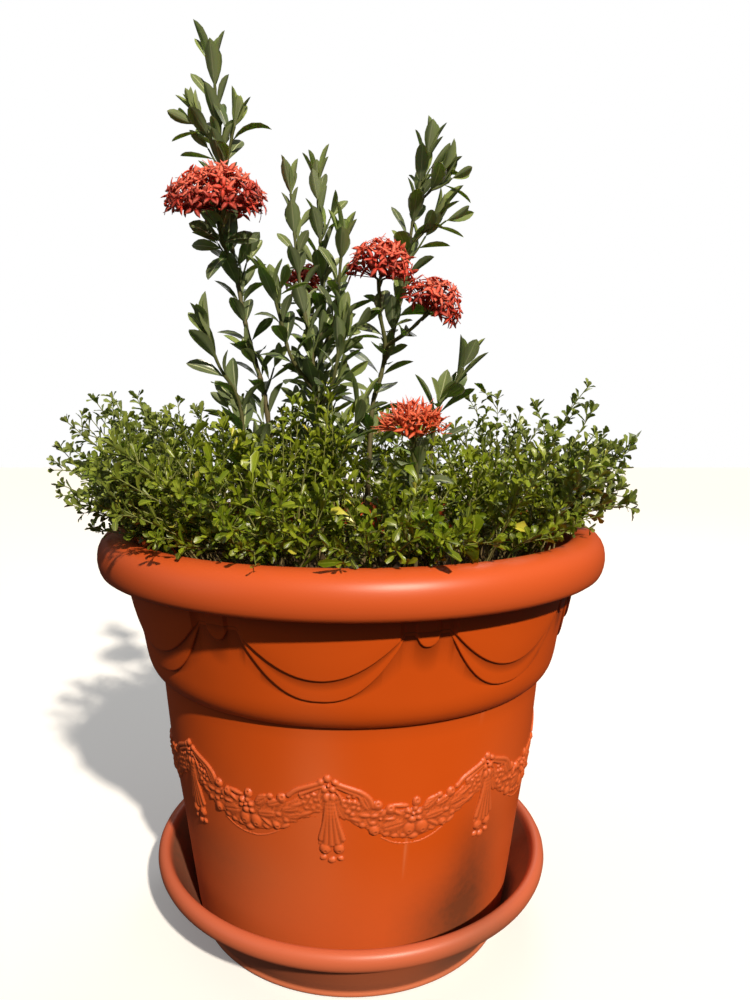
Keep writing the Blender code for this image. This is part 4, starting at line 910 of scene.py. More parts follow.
def buildGarlands():
    # the relief is worked out over one pitch and repeated round the pot; only what stands out is kept
    radius, cell, sink = garlandSet["radius"], garlandSet["cell"], garlandSet["sink"]
    pitchAngle = 360.0 / potSet["pitches"]
    pitch = math.radians(pitchAngle) * radius
    across = round(pitch / cell)
    up = round((garlandSet["high"] - garlandSet["low"]) / cell)
    s, z = np.meshgrid(np.arange(across) * pitch / across * 1000,
                       (garlandSet["low"] + np.arange(up + 1) * cell) * 1000, indexing="ij")
    height = garlandHeight(s, z) / 1000
    keep = height > garlandSet["kept"]
    solid = np.maximum(height, 0.0)
    soft = sum(np.roll(np.roll(solid, a, 0), b, 1) for a in range(-2, 3) for b in range(-2, 3)) / 25
    hollow = (soft - solid) / garlandSet["crease"]  # above 0 in the creases, below 0 on what stands out
    total = across * potSet["pitches"]
    points, number, faces, paintedCreaseShade, wornTopsAndHighlight = [], {}, [], [], []

    def corner(i, j):
        key = (i % total, j)
        if key not in number:
            h = max(height[i % across, j], -sink)
            azimuth = potSet["bowAzimuth"] + 360.0 * (i % total) / total
            level = garlandSet["low"] + j * cell
            number[key] = len(points)
            points.append(around(azimuth, between(potSide, level) + h, level))
            # painted shade in the creases and, more faintly, on the plain wall between the forms; the
            # raised tops are paler, partly worn and partly a painted highlight
            paintedCreaseShade.append(min(max(hollow[i % across, j], 0.25 * (h < 0.0002), 0.0), 1.0))
            wornTopsAndHighlight.append(0.1 + 0.12 * min(max(-hollow[i % across, j], 0.0), 1.0) - 0.08 * (h < 0.0002))
        return number[key]

    for i in range(total):
        a, b = i % across, (i + 1) % across
        for j in range(up):
            if keep[a, j] or keep[b, j] or keep[a, j + 1] or keep[b, j + 1]:
                faces.append((corner(i, j), corner(i + 1, j), corner(i + 1, j + 1), corner(i, j + 1)))
    made = meshPiece("potGarlands", points, faces, potPlastic)
    setAttribute(made, "dust", paintedCreaseShade)
    setAttribute(made, "rub", wornTopsAndHighlight)
    return made


potGarlands = buildGarlands()
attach(potGarlands, "root")
print("garlands built")


# ---- the saucer

# soiling and painted shade lie on the inner rows of the profile, darkening the saucer's inside where
# shade falls; "middle" is the height of the underside and of the floor
saucerSet = {"columns": 256, "innerFrom": 26, "smooth": 50, "middle": (0.003, 0.008), "dirtAndShade": 1.7,
             "lipDirtAndShade": 0.7}
saucerProfile = ((0.1475, 0.0022), (0.149, 0.0004), (0.153, 0.0), (0.1572, 0.0002), (0.159, 0.0012),
                 (0.1594, 0.0026), (0.1586, 0.004), (0.1582, 0.0058), (0.16, 0.0084), (0.168, 0.0207),
                 (0.178, 0.037), (0.1872, 0.052), (0.1896, 0.0552), (0.1912, 0.056), (0.196, 0.0563),
                 (0.1987, 0.0568), (0.2006, 0.0584), (0.202, 0.0615), (0.2026, 0.0652), (0.2021, 0.0688),
                 (0.2006, 0.0717), (0.1984, 0.0735), (0.1957, 0.0743), (0.1932, 0.0738), (0.1912, 0.0722),
                 (0.1898, 0.0695), (0.1872, 0.065), (0.1795, 0.052), (0.1708, 0.0345), (0.1622, 0.018),
                 (0.1598, 0.013), (0.1575, 0.01), (0.1545, 0.0085), (0.15, 0.008))


def saucerRing(r, z):
    count = saucerSet["columns"]
    return [around(360.0 * k / count, r, z) for k in range(count)]


potSaucer = turnedPiece("potSaucer", [saucerRing(r, z) for r, z in saucerProfile], *saucerSet["middle"],
                        saucerPlastic, saucerSet["smooth"])
innerRows = [saucerSet["dirtAndShade"] if row >= saucerSet["innerFrom"] else 0.0
             for row in range(len(saucerProfile))]
innerRows[saucerSet["innerFrom"] - 1] = saucerSet["lipDirtAndShade"]
# painted shadow: the patch at azimuth 35 carries the shadow painted low on the pot's front right wall on
# across the saucer
paintWearAndShade(potSaucer, [value for value in innerRows for _ in range(saucerSet["columns"])]
          + [0.0, saucerSet["dirtAndShade"]], rubs=(), film=(0.08, 0.02, 0.12), haze=(),
          stainsAndShadows=((35.0, 0.04, 13.0, 0.04, 1.55),), dustAndShadeRows=((0.008, 0.008, 0.5), (0.0, 0.004, 0.8)))
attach(potSaucer, "root")
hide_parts("saucer")
print("saucer built")


# ---- the compost and its crumbs

soilSet = {"radius": 0.2085, "height": 0.36, "rings": 26, "columns": 96, "wave": 0.0016, "dome": 0.004,
           "swell": 0.0012, "footRadius": 0.195, "foot": 0.3, "tone": 0.2, "crumbs": 5600.0,
           "crumbSizes": (0.003, 0.01), "crumbRadius": 0.2, "seed": 5}


def buildSoil():
    luck = random.Random(soilSet["seed"])
    rings, count, height = soilSet["rings"], soilSet["columns"], soilSet["height"]
    points = []
    for row in range(rings):
        share = 1 - row / rings
        for k in range(count):
            azimuth = 360.0 * k / count
            ripple = math.sin(math.radians(3 * azimuth + 40))
            lift = soilSet["dome"] * (1 - share) + soilSet["swell"] * ripple
            lift += luck.uniform(-1, 1) * soilSet["wave"] * (row > 0)
            points.append(around(azimuth, soilSet["radius"] * share, height - soilSet["dome"] + lift))
    faces = ringFaces(rings, count)
    points.append(Vector((0, 0, height)))
    last = (rings - 1) * count
    faces += [(last + k, last + (k + 1) % count, len(points) - 1) for k in range(count)]
    low = len(points)
    points += [around(360.0 * k / count, soilSet["footRadius"], soilSet["foot"]) for k in range(count)]
    faces += [(low + k, low + (k + 1) % count, (k + 1) % count, k) for k in range(count)]
    points.append(Vector((0, 0, soilSet["foot"])))
    faces += [(low + (k + 1) % count, low + k, len(points) - 1) for k in range(count)]
    made = meshPiece("pottingSoil", points, faces, pottingCompost)
    setAttribute(made, "tone", np.full(len(points), soilSet["tone"]))
    return made


def crumbShape(seed):
    luck = random.Random(seed)
    body = bmesh.new()
    bmesh.ops.create_icosphere(body, subdivisions=1, radius=0.5)
    flat = luck.uniform(0.35, 0.7)
    for vert in body.verts:
        vert.co *= luck.uniform(0.7, 1.15)
        vert.co.z *= flat
    made = meshPiece("crumb", [], [])
    body.to_mesh(made.data)
    body.free()
    return made


pottingSoil = buildSoil()
crumbShapes = shapeSet("crumb", [crumbShape(seed) for seed in (1, 2, 3, 4)])
crumbGround = meshPiece("soilCrumbs", [], [])
groundDisc = bmesh.new()
bmesh.ops.create_circle(groundDisc, cap_ends=True, segments=48, radius=soilSet["crumbRadius"])
bmesh.ops.translate(groundDisc, vec=(0, 0, soilSet["height"]), verts=groundDisc.verts[:])
groundDisc.to_mesh(crumbGround.data)
groundDisc.free()
soilCrumbs = bakeNodes(crumbGround, crumbsOnSoil, Shapes=crumbShapes, Crumbs_per_m2=soilSet["crumbs"],
                       Smallest=soilSet["crumbSizes"][0], Largest=soilSet["crumbSizes"][1],
                       Seed=soilSet["seed"], Finish=pottingCompost)
dropSet(crumbShapes)
for piece in (pottingSoil, soilCrumbs):
    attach(piece, "root")
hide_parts("soil")
print("compost built")


# ---- leaf shapes: thin closed blades along +Y, their upper side towards +Z

def bladeShape(name, rows, thickness, lanes, droop, fold, cup, twist):
    # rows are (share of the length, share of half the width), at unit length
    columns = 2 * lanes + 1
    points, faces, under, spots = [], [], [], []

    def spine(share):
        # the blade bends down in an arc along its length
        angle = droop * share
        if abs(droop) < 1e-4:
            return Vector((0, share, 0)), 0.0
        return Vector((0, math.sin(angle) / droop, -(1 - math.cos(angle)) / droop)), angle

    grid = []
    for share, half in rows:
        centre, angle = spine(share)
        line = []
        for k in range(columns):
            offset = (k - lanes) / lanes
            lift = fold * abs(offset) * half + cup * (1 - offset ** 2) * half
            roll = twist * share
            local = Vector((offset * half * math.cos(roll) - lift * math.sin(roll), 0,
                            lift * math.cos(roll) + offset * half * math.sin(roll)))
            local = Vector((local.x, local.z * math.sin(angle), local.z * math.cos(angle)))
            line.append((centre + local, offset, share))
        grid.append(line)
    tops = []
    for line in grid:
        ids = []
        for place, offset, share in line:
            ids.append(len(points))
            points.append(place)
            under.append(0.0)
            spots.append((0.5 + offset / 2, share))
        tops.append(ids)
    lows = []
    for row, line in enumerate(grid):
        ids = []
        _, angle = spine(rows[row][0])
        for k, (place, offset, share) in enumerate(line):
            if k in (0, columns - 1) or row in (0, len(grid) - 1):
                ids.append(tops[row][k])
                continue
            ids.append(len(points))
            points.append(place - Vector((0, math.sin(angle), math.cos(angle))) * thickness)
            under.append(1.0)
            spots.append((0.5 + offset / 2, share))
        lows.append(ids)
    for row in range(len(grid) - 1):
        for k in range(columns - 1):
            faces.append((tops[row][k], tops[row][k + 1], tops[row + 1][k + 1], tops[row + 1][k]))
            faces.append((lows[row][k + 1], lows[row][k], lows[row + 1][k], lows[row + 1][k + 1]))
    made = meshPiece(name, points, faces)
    setAttribute(made, "under", under)
    outline = {spot for line in tops for spot in (line[0], line[-1])} | set(tops[0]) | set(tops[-1])
    for edge in made.data.edges:                     # a crisp edge, so that the thin blade isn't puffy
        edge.use_edge_sharp = edge.vertices[0] in outline and edge.vertices[1] in outline
    layer = made.data.uv_layers.new(name="blade")
    for loop in made.data.loops:
        layer.data[loop.index].uv = spots[loop.vertex_index]
    return made


# ---- ixora: rooted stems, forks, crosswise pairs of leaves

ixoraSet = {"pitch": 0.0195, "leafLength": 0.0445, "leafWidth": 0.0176, "sway": 0.16, "lift": 0.12,
            "lengths": (0.8, 1.1), "widths": (0.86, 1.1), "twigChance": 0.56,
            "twigLengths": (0.012, 0.03), "twigLeaf": 0.035, "endLeaf": 0.044, "buried": 0.02,
            "soilLine": 0.4, "sizes": (0.82, 1.06), "rises": (0.3, 1.2), "tones": (-0.12, 0.2),
            "uprightFrom": 0.7, "twigUpTo": 0.85, "seed": 34}
# half width of the blade from its stalk to its tip
ixoraOutline = ((0.0, 0.03), (0.08, 0.07), (0.22, 0.255), (0.4, 0.42), (0.6, 0.485), (0.78, 0.41),
                (0.92, 0.215), (1.0, 0.012))
# in millimetres: thickness at foot and tip, where the leaves begin, then the points the stem runs through
ixoraShoots = {
    "ixoraTall": (
        ("tall", 3.4, 1.3, 450, (-62, 12, 360), (-80, 18, 450), (-89, 20, 528), (-104, 28, 583),
         (-114, 32, 628), (-124, 40, 691), (-133, 36, 782), (-137, 27, 853)),
        ("tallRight", 1.8, 1.2, 755, (-131, 36, 750), (-124, 30, 776), (-117, 26, 800)),
        ("tallLeft", 1.6, 1.1, 780, (-133, 36, 775), (-143, 30, 792), (-150, 26, 806)),
        ("bloomA", 2, 1.6, 660, (-122.5, 34, 665), (-127, -4, 684), (-128, -18, 701)),
    ),
    "ixoraLeft": (
        ("left", 2.6, 1.3, 440, (-100, -20, 360), (-104, -28, 460), (-108, -32, 523), (-124, -48, 558),
         (-130, -54, 577), (-134, -57, 592)),
    ),
    "ixoraCentre": (
        ("centre", 3.1, 1.3, 450, (-30, 10, 360), (-33, 4, 450), (-35, 0, 528), (-40, -2, 578),
         (-50, 0, 636), (-57, 0, 703), (-59, 0, 728)),
        ("fork", 2.1, 1.2, 545, (-36, -1, 535), (-58, -20, 568), (-67, -24, 600), (-72, -29, 620),
         (-74, -31, 635)),
        ("low", 2, 1.2, 530, (-34.5, 1, 510), (-18, -28, 545), (-12, -34, 575), (-9, -34, 598)),
        ("fresh", 1.8, 1.1, 470, (-31, 3, 460), (-8, -34, 480), (2, -44, 500), (6, -46, 512)),
    ),
    "ixoraMiddle": (
        ("middle", 3.1, 1.3, 450, (-20, 45, 360), (-27, 36, 450), (-31, 28, 528), (-31, 30, 611),
         (-30, 30, 661), (-33, 30, 711), (-34, 30, 745)),
        ("twig", 2.2, 1.3, 592, (-31, 29, 575), (-16, 18, 612), (-12, 8, 648), (-9, 2, 678)),
    ),
    "ixoraBack": (
        ("back", 2.6, 1.6, 450, (-20, 90, 360), (-28, 84, 470), (-40, 78, 560), (-47, 74, 620),
         (-49, 72, 641)),
        ("rear", 2.2, 1.3, 575, (-40, 78, 560), (-24, 104, 590), (-16, 112, 625), (-14, 114, 650)),
    ),
    "ixoraRight": (
        ("right", 3.1, 1.7, 445, (12, -20, 360), (17, -15, 440), (21, -10, 518), (29, -8, 548),
         (34, -10, 580), (28, -18, 612), (27, -26, 634)),
        ("high", 2.6, 1.3, 585, (33, -8.5, 565), (45, 18, 605), (55, 30, 650), (62, 32, 700),
         (69, 30, 742), (77, 28, 774)),
        ("highUpper", 1.6, 1.1, 730, (66.5, 31, 726), (80, 26, 738), (90, 22, 752)),
        ("highLower", 1.6, 1.1, 690, (60, 32, 685), (73, 28, 697), (83, 24, 710)),
        ("bloomC", 2.1, 1.6, 578, (34, -10, 580), (56, -22, 594), (69, -28, 606)),
    ),
    "ixoraSide": (
        ("side", 2.4, 1.2, 440, (70, 0, 360), (78, -12, 450), (85, -22, 516), (96, -30, 534),
         (104, -32, 548), (108, -32, 558)),
    ),
    "ixoraFront": (
        ("front", 2.8, 1.7, 430, (59, -76, 360), (62, -90, 420), (58, -108, 462), (52, -118, 485)),
    ),
}
ixoraNodes = {"ixoraTall": "ixora_tall", "ixoraLeft": "ixora_left", "ixoraCentre": "ixora_centre",
              "ixoraMiddle": "ixora_middle", "ixoraBack": "ixora_back", "ixoraRight": "ixora_right",
              "ixoraSide": "ixora_side", "ixoraFront": "ixora_front"}
flowering = {"bloomA", "right", "bloomC", "front", "back"}      # these end in a head, not in leaves
leafFacing = Vector((0.2, 1.0, 0.1))

# droop, fold, cup and twist of each leaf
ixoraBends = ((0.1, 0.2, 0.0, 0.0), (0.3, 0.16, 0.03, 0.12), (0.6, 0.12, 0.05, -0.15),
              (-0.12, 0.3, 0.0, 0.0), (0.2, 0.08, 0.06, 0.25), (0.95, 0.16, 0.04, 0.1))
ixoraBlades = shapeSet("ixoraBlade", [bladeShape("blade", ixoraOutline, 0.006, 2, *bend)
                                      for bend in ixoraBends])


def walk(path, pitch):
    places = [(path[0], (path[1] - path[0]).normalized())]
    run = 0.0
    for here, there in zip(path, path[1:]):
        length = (there - here).length
        while run + length >= pitch:
            share = (pitch - run) / length
            here = here.lerp(there, share)
            length = (there - here).length
            places.append((here.copy(), (there - here).normalized() if length > 1e-6 else places[-1][1]))
            run = 0.0
        run += length
    if run > pitch * 0.45:
        places.append((path[-1], places[-1][1]))
    return places


def anyWay(luck):
    return Vector((luck.uniform(-1, 1), luck.uniform(-1, 1), luck.uniform(-1, 1)))


def addPair(spots, centre, along, across, radius, length, width, rise, tone, luck, shapes, uneven=0.0):
    for sign in (1, -1):
        outward = across * sign
        aim = outward + along * rise + Vector((0, 0, ixoraSet["lift"])) + anyWay(luck) * ixoraSet["sway"]
        size = length * luck.uniform(*ixoraSet["lengths"]) * (1.0 - uneven * luck.random())
        wide = width * luck.uniform(*ixoraSet["widths"]) * (1.0 - 0.12 * min(rise / 2.0, 1.0))
        spots.add(centre + outward * radius * 0.6, aim, along, (wide, size, size),
                  tone + luck.uniform(-0.1, 0.12), luck.choice(shapes))


def growShoot(spots, stems, label, points, thick, thin, leafFrom, luck):
    path = smoothPath(points, 0.004)
    places = [spot for spot in walk(smoothPath(points, 0.006), ixoraSet["pitch"])[1:]
              if spot[0].z > leafFrom]
    across = None
    bloomed = label in flowering
    for number, (centre, along) in enumerate(places):
        share = (number + 1) / len(places)
        if across is None:
            _, across, _ = frameOf(along, leafFacing)
        across = (across - along * across.dot(along)).normalized()
        above = across.cross(along)
        if bloomed and number == len(places) - 1 and len(places) > 1:
            continue
        side, otherSide = (above, across) if number % 2 == 0 else (across, above)
        # the leaves stand up, shorten and lighten towards the tip, and are roundest low down
        rise = luck.uniform(*ixoraSet["rises"]) + 1.9 * share ** 1.6 if not bloomed else 0.5
        size = (1.0 - 0.08 * share ** 2) * luck.uniform(*ixoraSet["sizes"])
        tone = 0.14 + 0.5 * share ** 3 + luck.uniform(*ixoraSet["tones"])
        upright = share > ixoraSet["uprightFrom"] and not bloomed
        shapes = (3, 0, 0, 4) if upright else (1, 2, 0, 4, 5, 1)
        roundness = 1.0 + 0.16 * max(0.5 - share, 0.0)
        addPair(spots, centre, along, side, thick + (thin - thick) * share, ixoraSet["leafLength"] * size,
                size * roundness, rise, tone, luck, shapes, 0.2 * share)
        if luck.random() < ixoraSet["twigChance"] and share < ixoraSet["twigUpTo"]:
            addTwig(spots, stems, centre, along, otherSide, luck)
    if not bloomed:
        end = path[-1]
        along = (path[-1] - path[-3]).normalized()
        _, across, _ = frameOf(along, leafFacing)
        for turn in range(2):
            spin = Matrix.Rotation(math.radians(20 + 90 * turn), 3, along)
            addPair(spots, end, along, spin @ across, thin, ixoraSet["endLeaf"] - 0.012 * turn,
                    0.84 - 0.18 * turn, 3.6 + 2.2 * turn, 0.84, luck, (3, 0), 0.36)
    stems.add(path, thick, thin, 0.0 if points[0][2] < ixoraSet["soilLine"] else 0.4, 0.8,
              [c for c, _ in places])


def addTwig(spots, stems, centre, along, side, luck):
    # a short side shoot from a leaf axil, with two small fresh pairs
    side = side * luck.choice((1, -1))
    heading = (side * 0.75 + along * 1.1).normalized()
    length = luck.uniform(*ixoraSet["twigLengths"])
    end = centre + heading * length + Vector((0, 0, 0.004))
    path = smoothPath([centre, centre + heading * length * 0.5, end], 0.004)
    stems.add(path, 0.0012, 0.0009, 0.8, 1.0)
    _, across, above = frameOf(heading, along)
    for number, share in enumerate((0.55, 1.0)):
        addPair(spots, path[0].lerp(end, share), heading, across if number else above, 0.0008,
                ixoraSet["twigLeaf"] - 0.005 * number, 0.72 - 0.1 * number, 1.0 + 1.0 * number, 0.66,
                luck, (0, 3, 1))


def buildIxora():
    luck = random.Random(ixoraSet["seed"])
    widthScale = ixoraSet["leafWidth"] / 0.96
    for name, shoots in ixoraShoots.items():
        spots, stems = Spots(), Stems()
        for label, thick, thin, leafFrom, *points in shoots:
            points = [millimetres(point) for point in points]
            if points[0].z < ixoraSet["soilLine"]:
                points = [points[0] - Vector((0, 0, ixoraSet["buried"])), *points]
            growShoot(spots, stems, label, points, thick / 1000, thin / 1000, leafFrom / 1000, luck)
        spots.size = [(w * widthScale, l, t) for w, l, t in spots.size]
        leaves = spots.bake(name + "Leaves", ixoraBlades, ixoraLeaf, 0.06, 0.1, 7)
        wood = stems.bake(name + "Stems", ixoraBark, 8)
        for piece in (leaves, wood):
            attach(piece, "root")
        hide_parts(ixoraNodes[name])
        print(name, "leaves", len(spots.points))


buildIxora()
print("ixora grown")


# ---- ixora blooms: slim tubes from a branched stalk, four-petalled stars in a dome, buds between them

# shares of a petal's length: its thickness above and below, the stamens and the eye
starSet = {"thick": 0.035, "under": 0.03, "stamenOut": 0.22, "stamenUp": 0.2, "stamenThick": 0.05,
           "eye": 0.06}


def starShape(name, lift, twist, slim):
    # four pointed petals, each a thin lens with a raised middle, and a stamen between each two;
    # +Y is the way the floret faces; rows of a petal are (how far out, half width, rise)
    points, faces, tip = [], [], []
    rows = ((0.06, 0.09, 0.0), (0.34, 0.215, 0.05), (0.66, 0.185, 0.06 + lift * 0.5), (1.0, 0.01, lift))
    for k in range(4):
        turn = math.radians(90 * k + twist)
        out = Vector((math.cos(turn), 0, math.sin(turn)))
        side = Vector((-math.sin(turn), 0, math.cos(turn)))
        start = len(points)
        for reach, half, rise in rows:
            centre = out * reach + Vector((0, rise, 0))
            points += [centre - side * half * slim, centre + Vector((0, starSet["thick"], 0)),
                       centre + side * half * slim, centre - Vector((0, starSet["under"], 0))]
            tip += [reach] * 4
        for row in range(3):
            a, b = start + 4 * row, start + 4 * row + 4
            faces += [(a + i, a + (i + 1) % 4, b + (i + 1) % 4, b + i) for i in range(4)]
        faces += [tuple(start + i for i in corners) for corners in ((3, 2, 1, 0), (12, 13, 14, 15))]
        start = len(points)
        lean = (out + side).normalized() * starSet["stamenOut"] + Vector((0, starSet["stamenUp"], 0))
        points += [out * starSet["eye"], side * starSet["eye"], lean,
                   lean + Vector((0, starSet["stamenThick"], 0))]
        tip += [1.0] * 4
        faces += [tuple(start + i for i in corners)
                  for corners in ((0, 1, 2), (1, 0, 3), (0, 2, 3), (2, 1, 3))]
    made = meshPiece(name, points, faces)
    body = bmesh.new()
    body.from_mesh(made.data)
    bmesh.ops.recalc_face_normals(body, faces=body.faces[:])
    body.to_mesh(made.data)
    body.free()
    made.data.shade_smooth()
    setAttribute(made, "tip", tip)
    return made


def rodShape(name, rings, sides):
    # a slim round rod of unit length along +Y; rings are (share, radius)
    turns = [math.tau * k / sides for k in range(sides)]
    points = [Vector((r * math.sin(turn), y, r * math.cos(turn))) for y, r in rings for turn in turns]
    faces = ringFaces(len(rings), sides)
    faces += [tuple(reversed(range(sides))), tuple((len(rings) - 1) * sides + k for k in range(sides))]
    made = meshPiece(name, points, faces)
    setAttribute(made, "tip", [0.0] * len(points))
    return made


# stars: lift of the petals, turn in degrees, how slim; then the rings of a tube and of a bud
starForms = ((0.1, 0, 1.0), (-0.1, 30, 1.0), (0.38, 60, 1.0), (0.95, 20, 0.62))
rodForms = (("tube", ((0.0, 0.55), (0.35, 0.6), (0.85, 0.75), (1.0, 1.25))),
            ("bud", ((0.0, 0.5), (0.6, 0.55), (0.78, 1.3), (0.92, 1.1), (1.0, 0.25))))
bloomShapes = shapeSet("bloomShape", [starShape("star", *form) for form in starForms]
                       + [rodShape(rod, rings, 5) for rod, rings in rodForms])
bloomSet = {"petal": 0.0098, "tubeRadius": 0.00078, "branches": 7, "branchSpread": 0.17,
            "stalk": (0.0013, 0.0008), "overlap": 0.62, "depths": (0.85, 1.02), "unlevel": 0.004,
            "foot": 0.16, "dome": 0.66, "chance": 0.34, "petalSizes": (0.84, 1.06), "budFrom": 0.2,
            "shadeFrom": 70.0, "shade": 0.42, "seed": 90}
tubeShape, budShape = 4, 5
# CAD node: the end of its stalk in millimetres, the way it faces, radius, height, how far its florets go
# round in degrees, florets, buds, which stars it has, petal size
blooms = {
    "bloom_tall": ((-128, -18, 705), (0.02, -0.2, 1), 0.053, 0.048, 97, 128, 16, (0, 0, 1, 2), 1.06),
    "bloom_centre": ((27, -27, 639), (0.1, -0.1, 1), 0.0368, 0.045, 87, 56, 9, (0, 1, 2, 2), 1.08),
    "bloom_right": ((72.5, -29, 610), (0.62, -0.15, 0.9), 0.0348, 0.038, 88, 52, 9, (0, 1, 2), 1.06),
    "bloom_front": ((54, -119.5, 491.5), (-0.05, -0.1, 1), 0.0325, 0.032, 72, 26, 22, (3, 2, 3), 1.04),
    "bloom_back": ((-49, 73, 645.5), (-0.05, 0.15, 1), 0.029, 0.032, 84, 40, 6, (0, 1, 2), 1.0),
}


def buildBloom(name, end, axis, radius, height, lowest, florets, buds, stars, scale, luck):
    end, axis = millimetres(end), Vector(axis).normalized()
    _, across, above = frameOf(axis, Vector((0, 1, 0.2)))
    spots, stalks = Spots(), Stems()

    def sideAt(turn):
        return across * math.cos(turn) + above * math.sin(turn)

    branches = []
    for k in range(bloomSet["branches"]):
        spread = bloomSet["branchSpread"] * radius if k else 0.0
        tip = end + axis * height * (0.1 if k else 0.14)
        tip += sideAt(math.tau * k / bloomSet["branches"]) * spread
        branches.append(tip)
        branch = [end - axis * 0.008, end.lerp(tip, 0.5) + axis * 0.001, tip]
        stalks.add(branch, *bloomSet["stalk"], 0.6, 1.0)
    count = florets + buds
    petal = bloomSet["petal"] * scale
    reach = radius - petal * bloomSet["overlap"]
    thick = bloomSet["tubeRadius"]
    for k in range(count):                          # florets wind outwards by the golden angle
        share = (k + 0.5) / count
        polar = math.radians(lowest) * share ** 0.56
        flat = sideAt(math.pi * (3 - math.sqrt(5)) * k)
        target = end + flat * reach * math.sin(polar) * luck.uniform(*bloomSet["depths"])
        level = height * (bloomSet["foot"] + bloomSet["dome"] * math.cos(polar))
        target += axis * (level + luck.uniform(-bloomSet["unlevel"], bloomSet["unlevel"]))
        outward = (flat * math.sin(polar) + axis * (0.35 + 0.8 * max(math.cos(polar), 0.0))).normalized()
        outward += anyWay(luck) * bloomSet["chance"]
        start = min(branches, key=lambda tip: (tip - target).length)
        tube = target - start
        if k % (count // buds) == 3 and share > bloomSet["budFrom"]:
            spots.add(start, tube, axis, (thick * 1.15, tube.length * luck.uniform(0.85, 1.0),
                                          thick * 1.15), luck.uniform(0.15, 0.45), budShape)
            continue
        spots.add(start, tube, axis, (thick, tube.length, thick), luck.uniform(0.05, 0.25), tubeShape)
        spin = anyWay(luck)
        size = petal * luck.uniform(*bloomSet["petalSizes"])
        # painted shade: florets further down the dome are darker, and those past shadeFrom are darker
        # again, as if in the head's own shadow
        tone = 0.9 - 0.16 * share + luck.uniform(-0.24, 0.14)
        tone -= bloomSet["shade"] * (polar > math.radians(bloomSet["shadeFrom"]))
        spots.add(target, outward, spin, size, tone, luck.choice(stars))
    label = name.replace("_", "")
    flowers = spots.bake(label + "Florets", bloomShapes, ixoraPetal, 0.04, 0.1, 3)
    stalk = stalks.bake(label + "Stalks", ixoraBark, 6)
    for piece in (flowers, stalk):
        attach(piece, "root")
    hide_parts(name)


bloomLuck = random.Random(bloomSet["seed"])
for bloomName, bloomFacts in blooms.items():
    buildBloom(bloomName, *bloomFacts, bloomLuck)
print("blooms opened")


# ---- bedding: small spoon-leaved plants that fill the pot round the ixora

bedSet = {"leafLength": 0.0127, "leafWidth": 0.004, "broad": 0.006, "sprigs": 21, "stem": 0.0009,
          "pairEvery": 0.0086, "twigPairs": 0.0075, "twigEvery": 0.02, "twigLengths": (0.012, 0.03),
          "missing": 0.12, "large": (1.9, 0.028), "yellow": 0.014, "root": 0.3585, "inner": 0.12,
          "lengths": (0.58, 1.2), "sizes": (0.85, 1.15), "leafTones": (-0.24, 0.22), "shadeBelow": 0.474,
          "shade": 0.2, "leftShade": 0.06, "tones": (0.17, 0.57), "bare": 0.5, "twigTones": (0.32, 0.6),
          "twigBare": 0.3, "twigMissing": 0.2, "twigAbove": 0.392, "spread": (0.052, 0.034),
          "rootSpan": (-0.036, 0.03), "seed": 61}
# the pot's rim, for the sprigs that climb over it
rimSet = {"inside": 0.2115, "outside": 0.2515, "top": 0.4045, "front": -0.1, "hangTop": 0.4065,
          "climbFrom": 0.205, "climbTo": 0.2525, "climb": 0.4062, "tipLevel": 0.413}
# azimuth, distance from the middle, height of the crown, how far the outer sprigs reach
bedBushes = (
    (8.0, 0.156, 0.5, 0.285), (50.0, 0.158, 0.508, 0.287), (84.0, 0.158, 0.52, 0.297),
    (120.0, 0.158, 0.53, 0.292), (156.0, 0.156, 0.52, 0.285), (192.0, 0.156, 0.512, 0.282),
    (228.0, 0.158, 0.525, 0.294), (264.0, 0.158, 0.535, 0.306), (298.0, 0.158, 0.528, 0.3),
    (333.0, 0.156, 0.508, 0.288),
    (-31.0, 0.086, 0.53, 0.12), (135.0, 0.064, 0.514, 0.1), (225.0, 0.092, 0.526, 0.12),
)
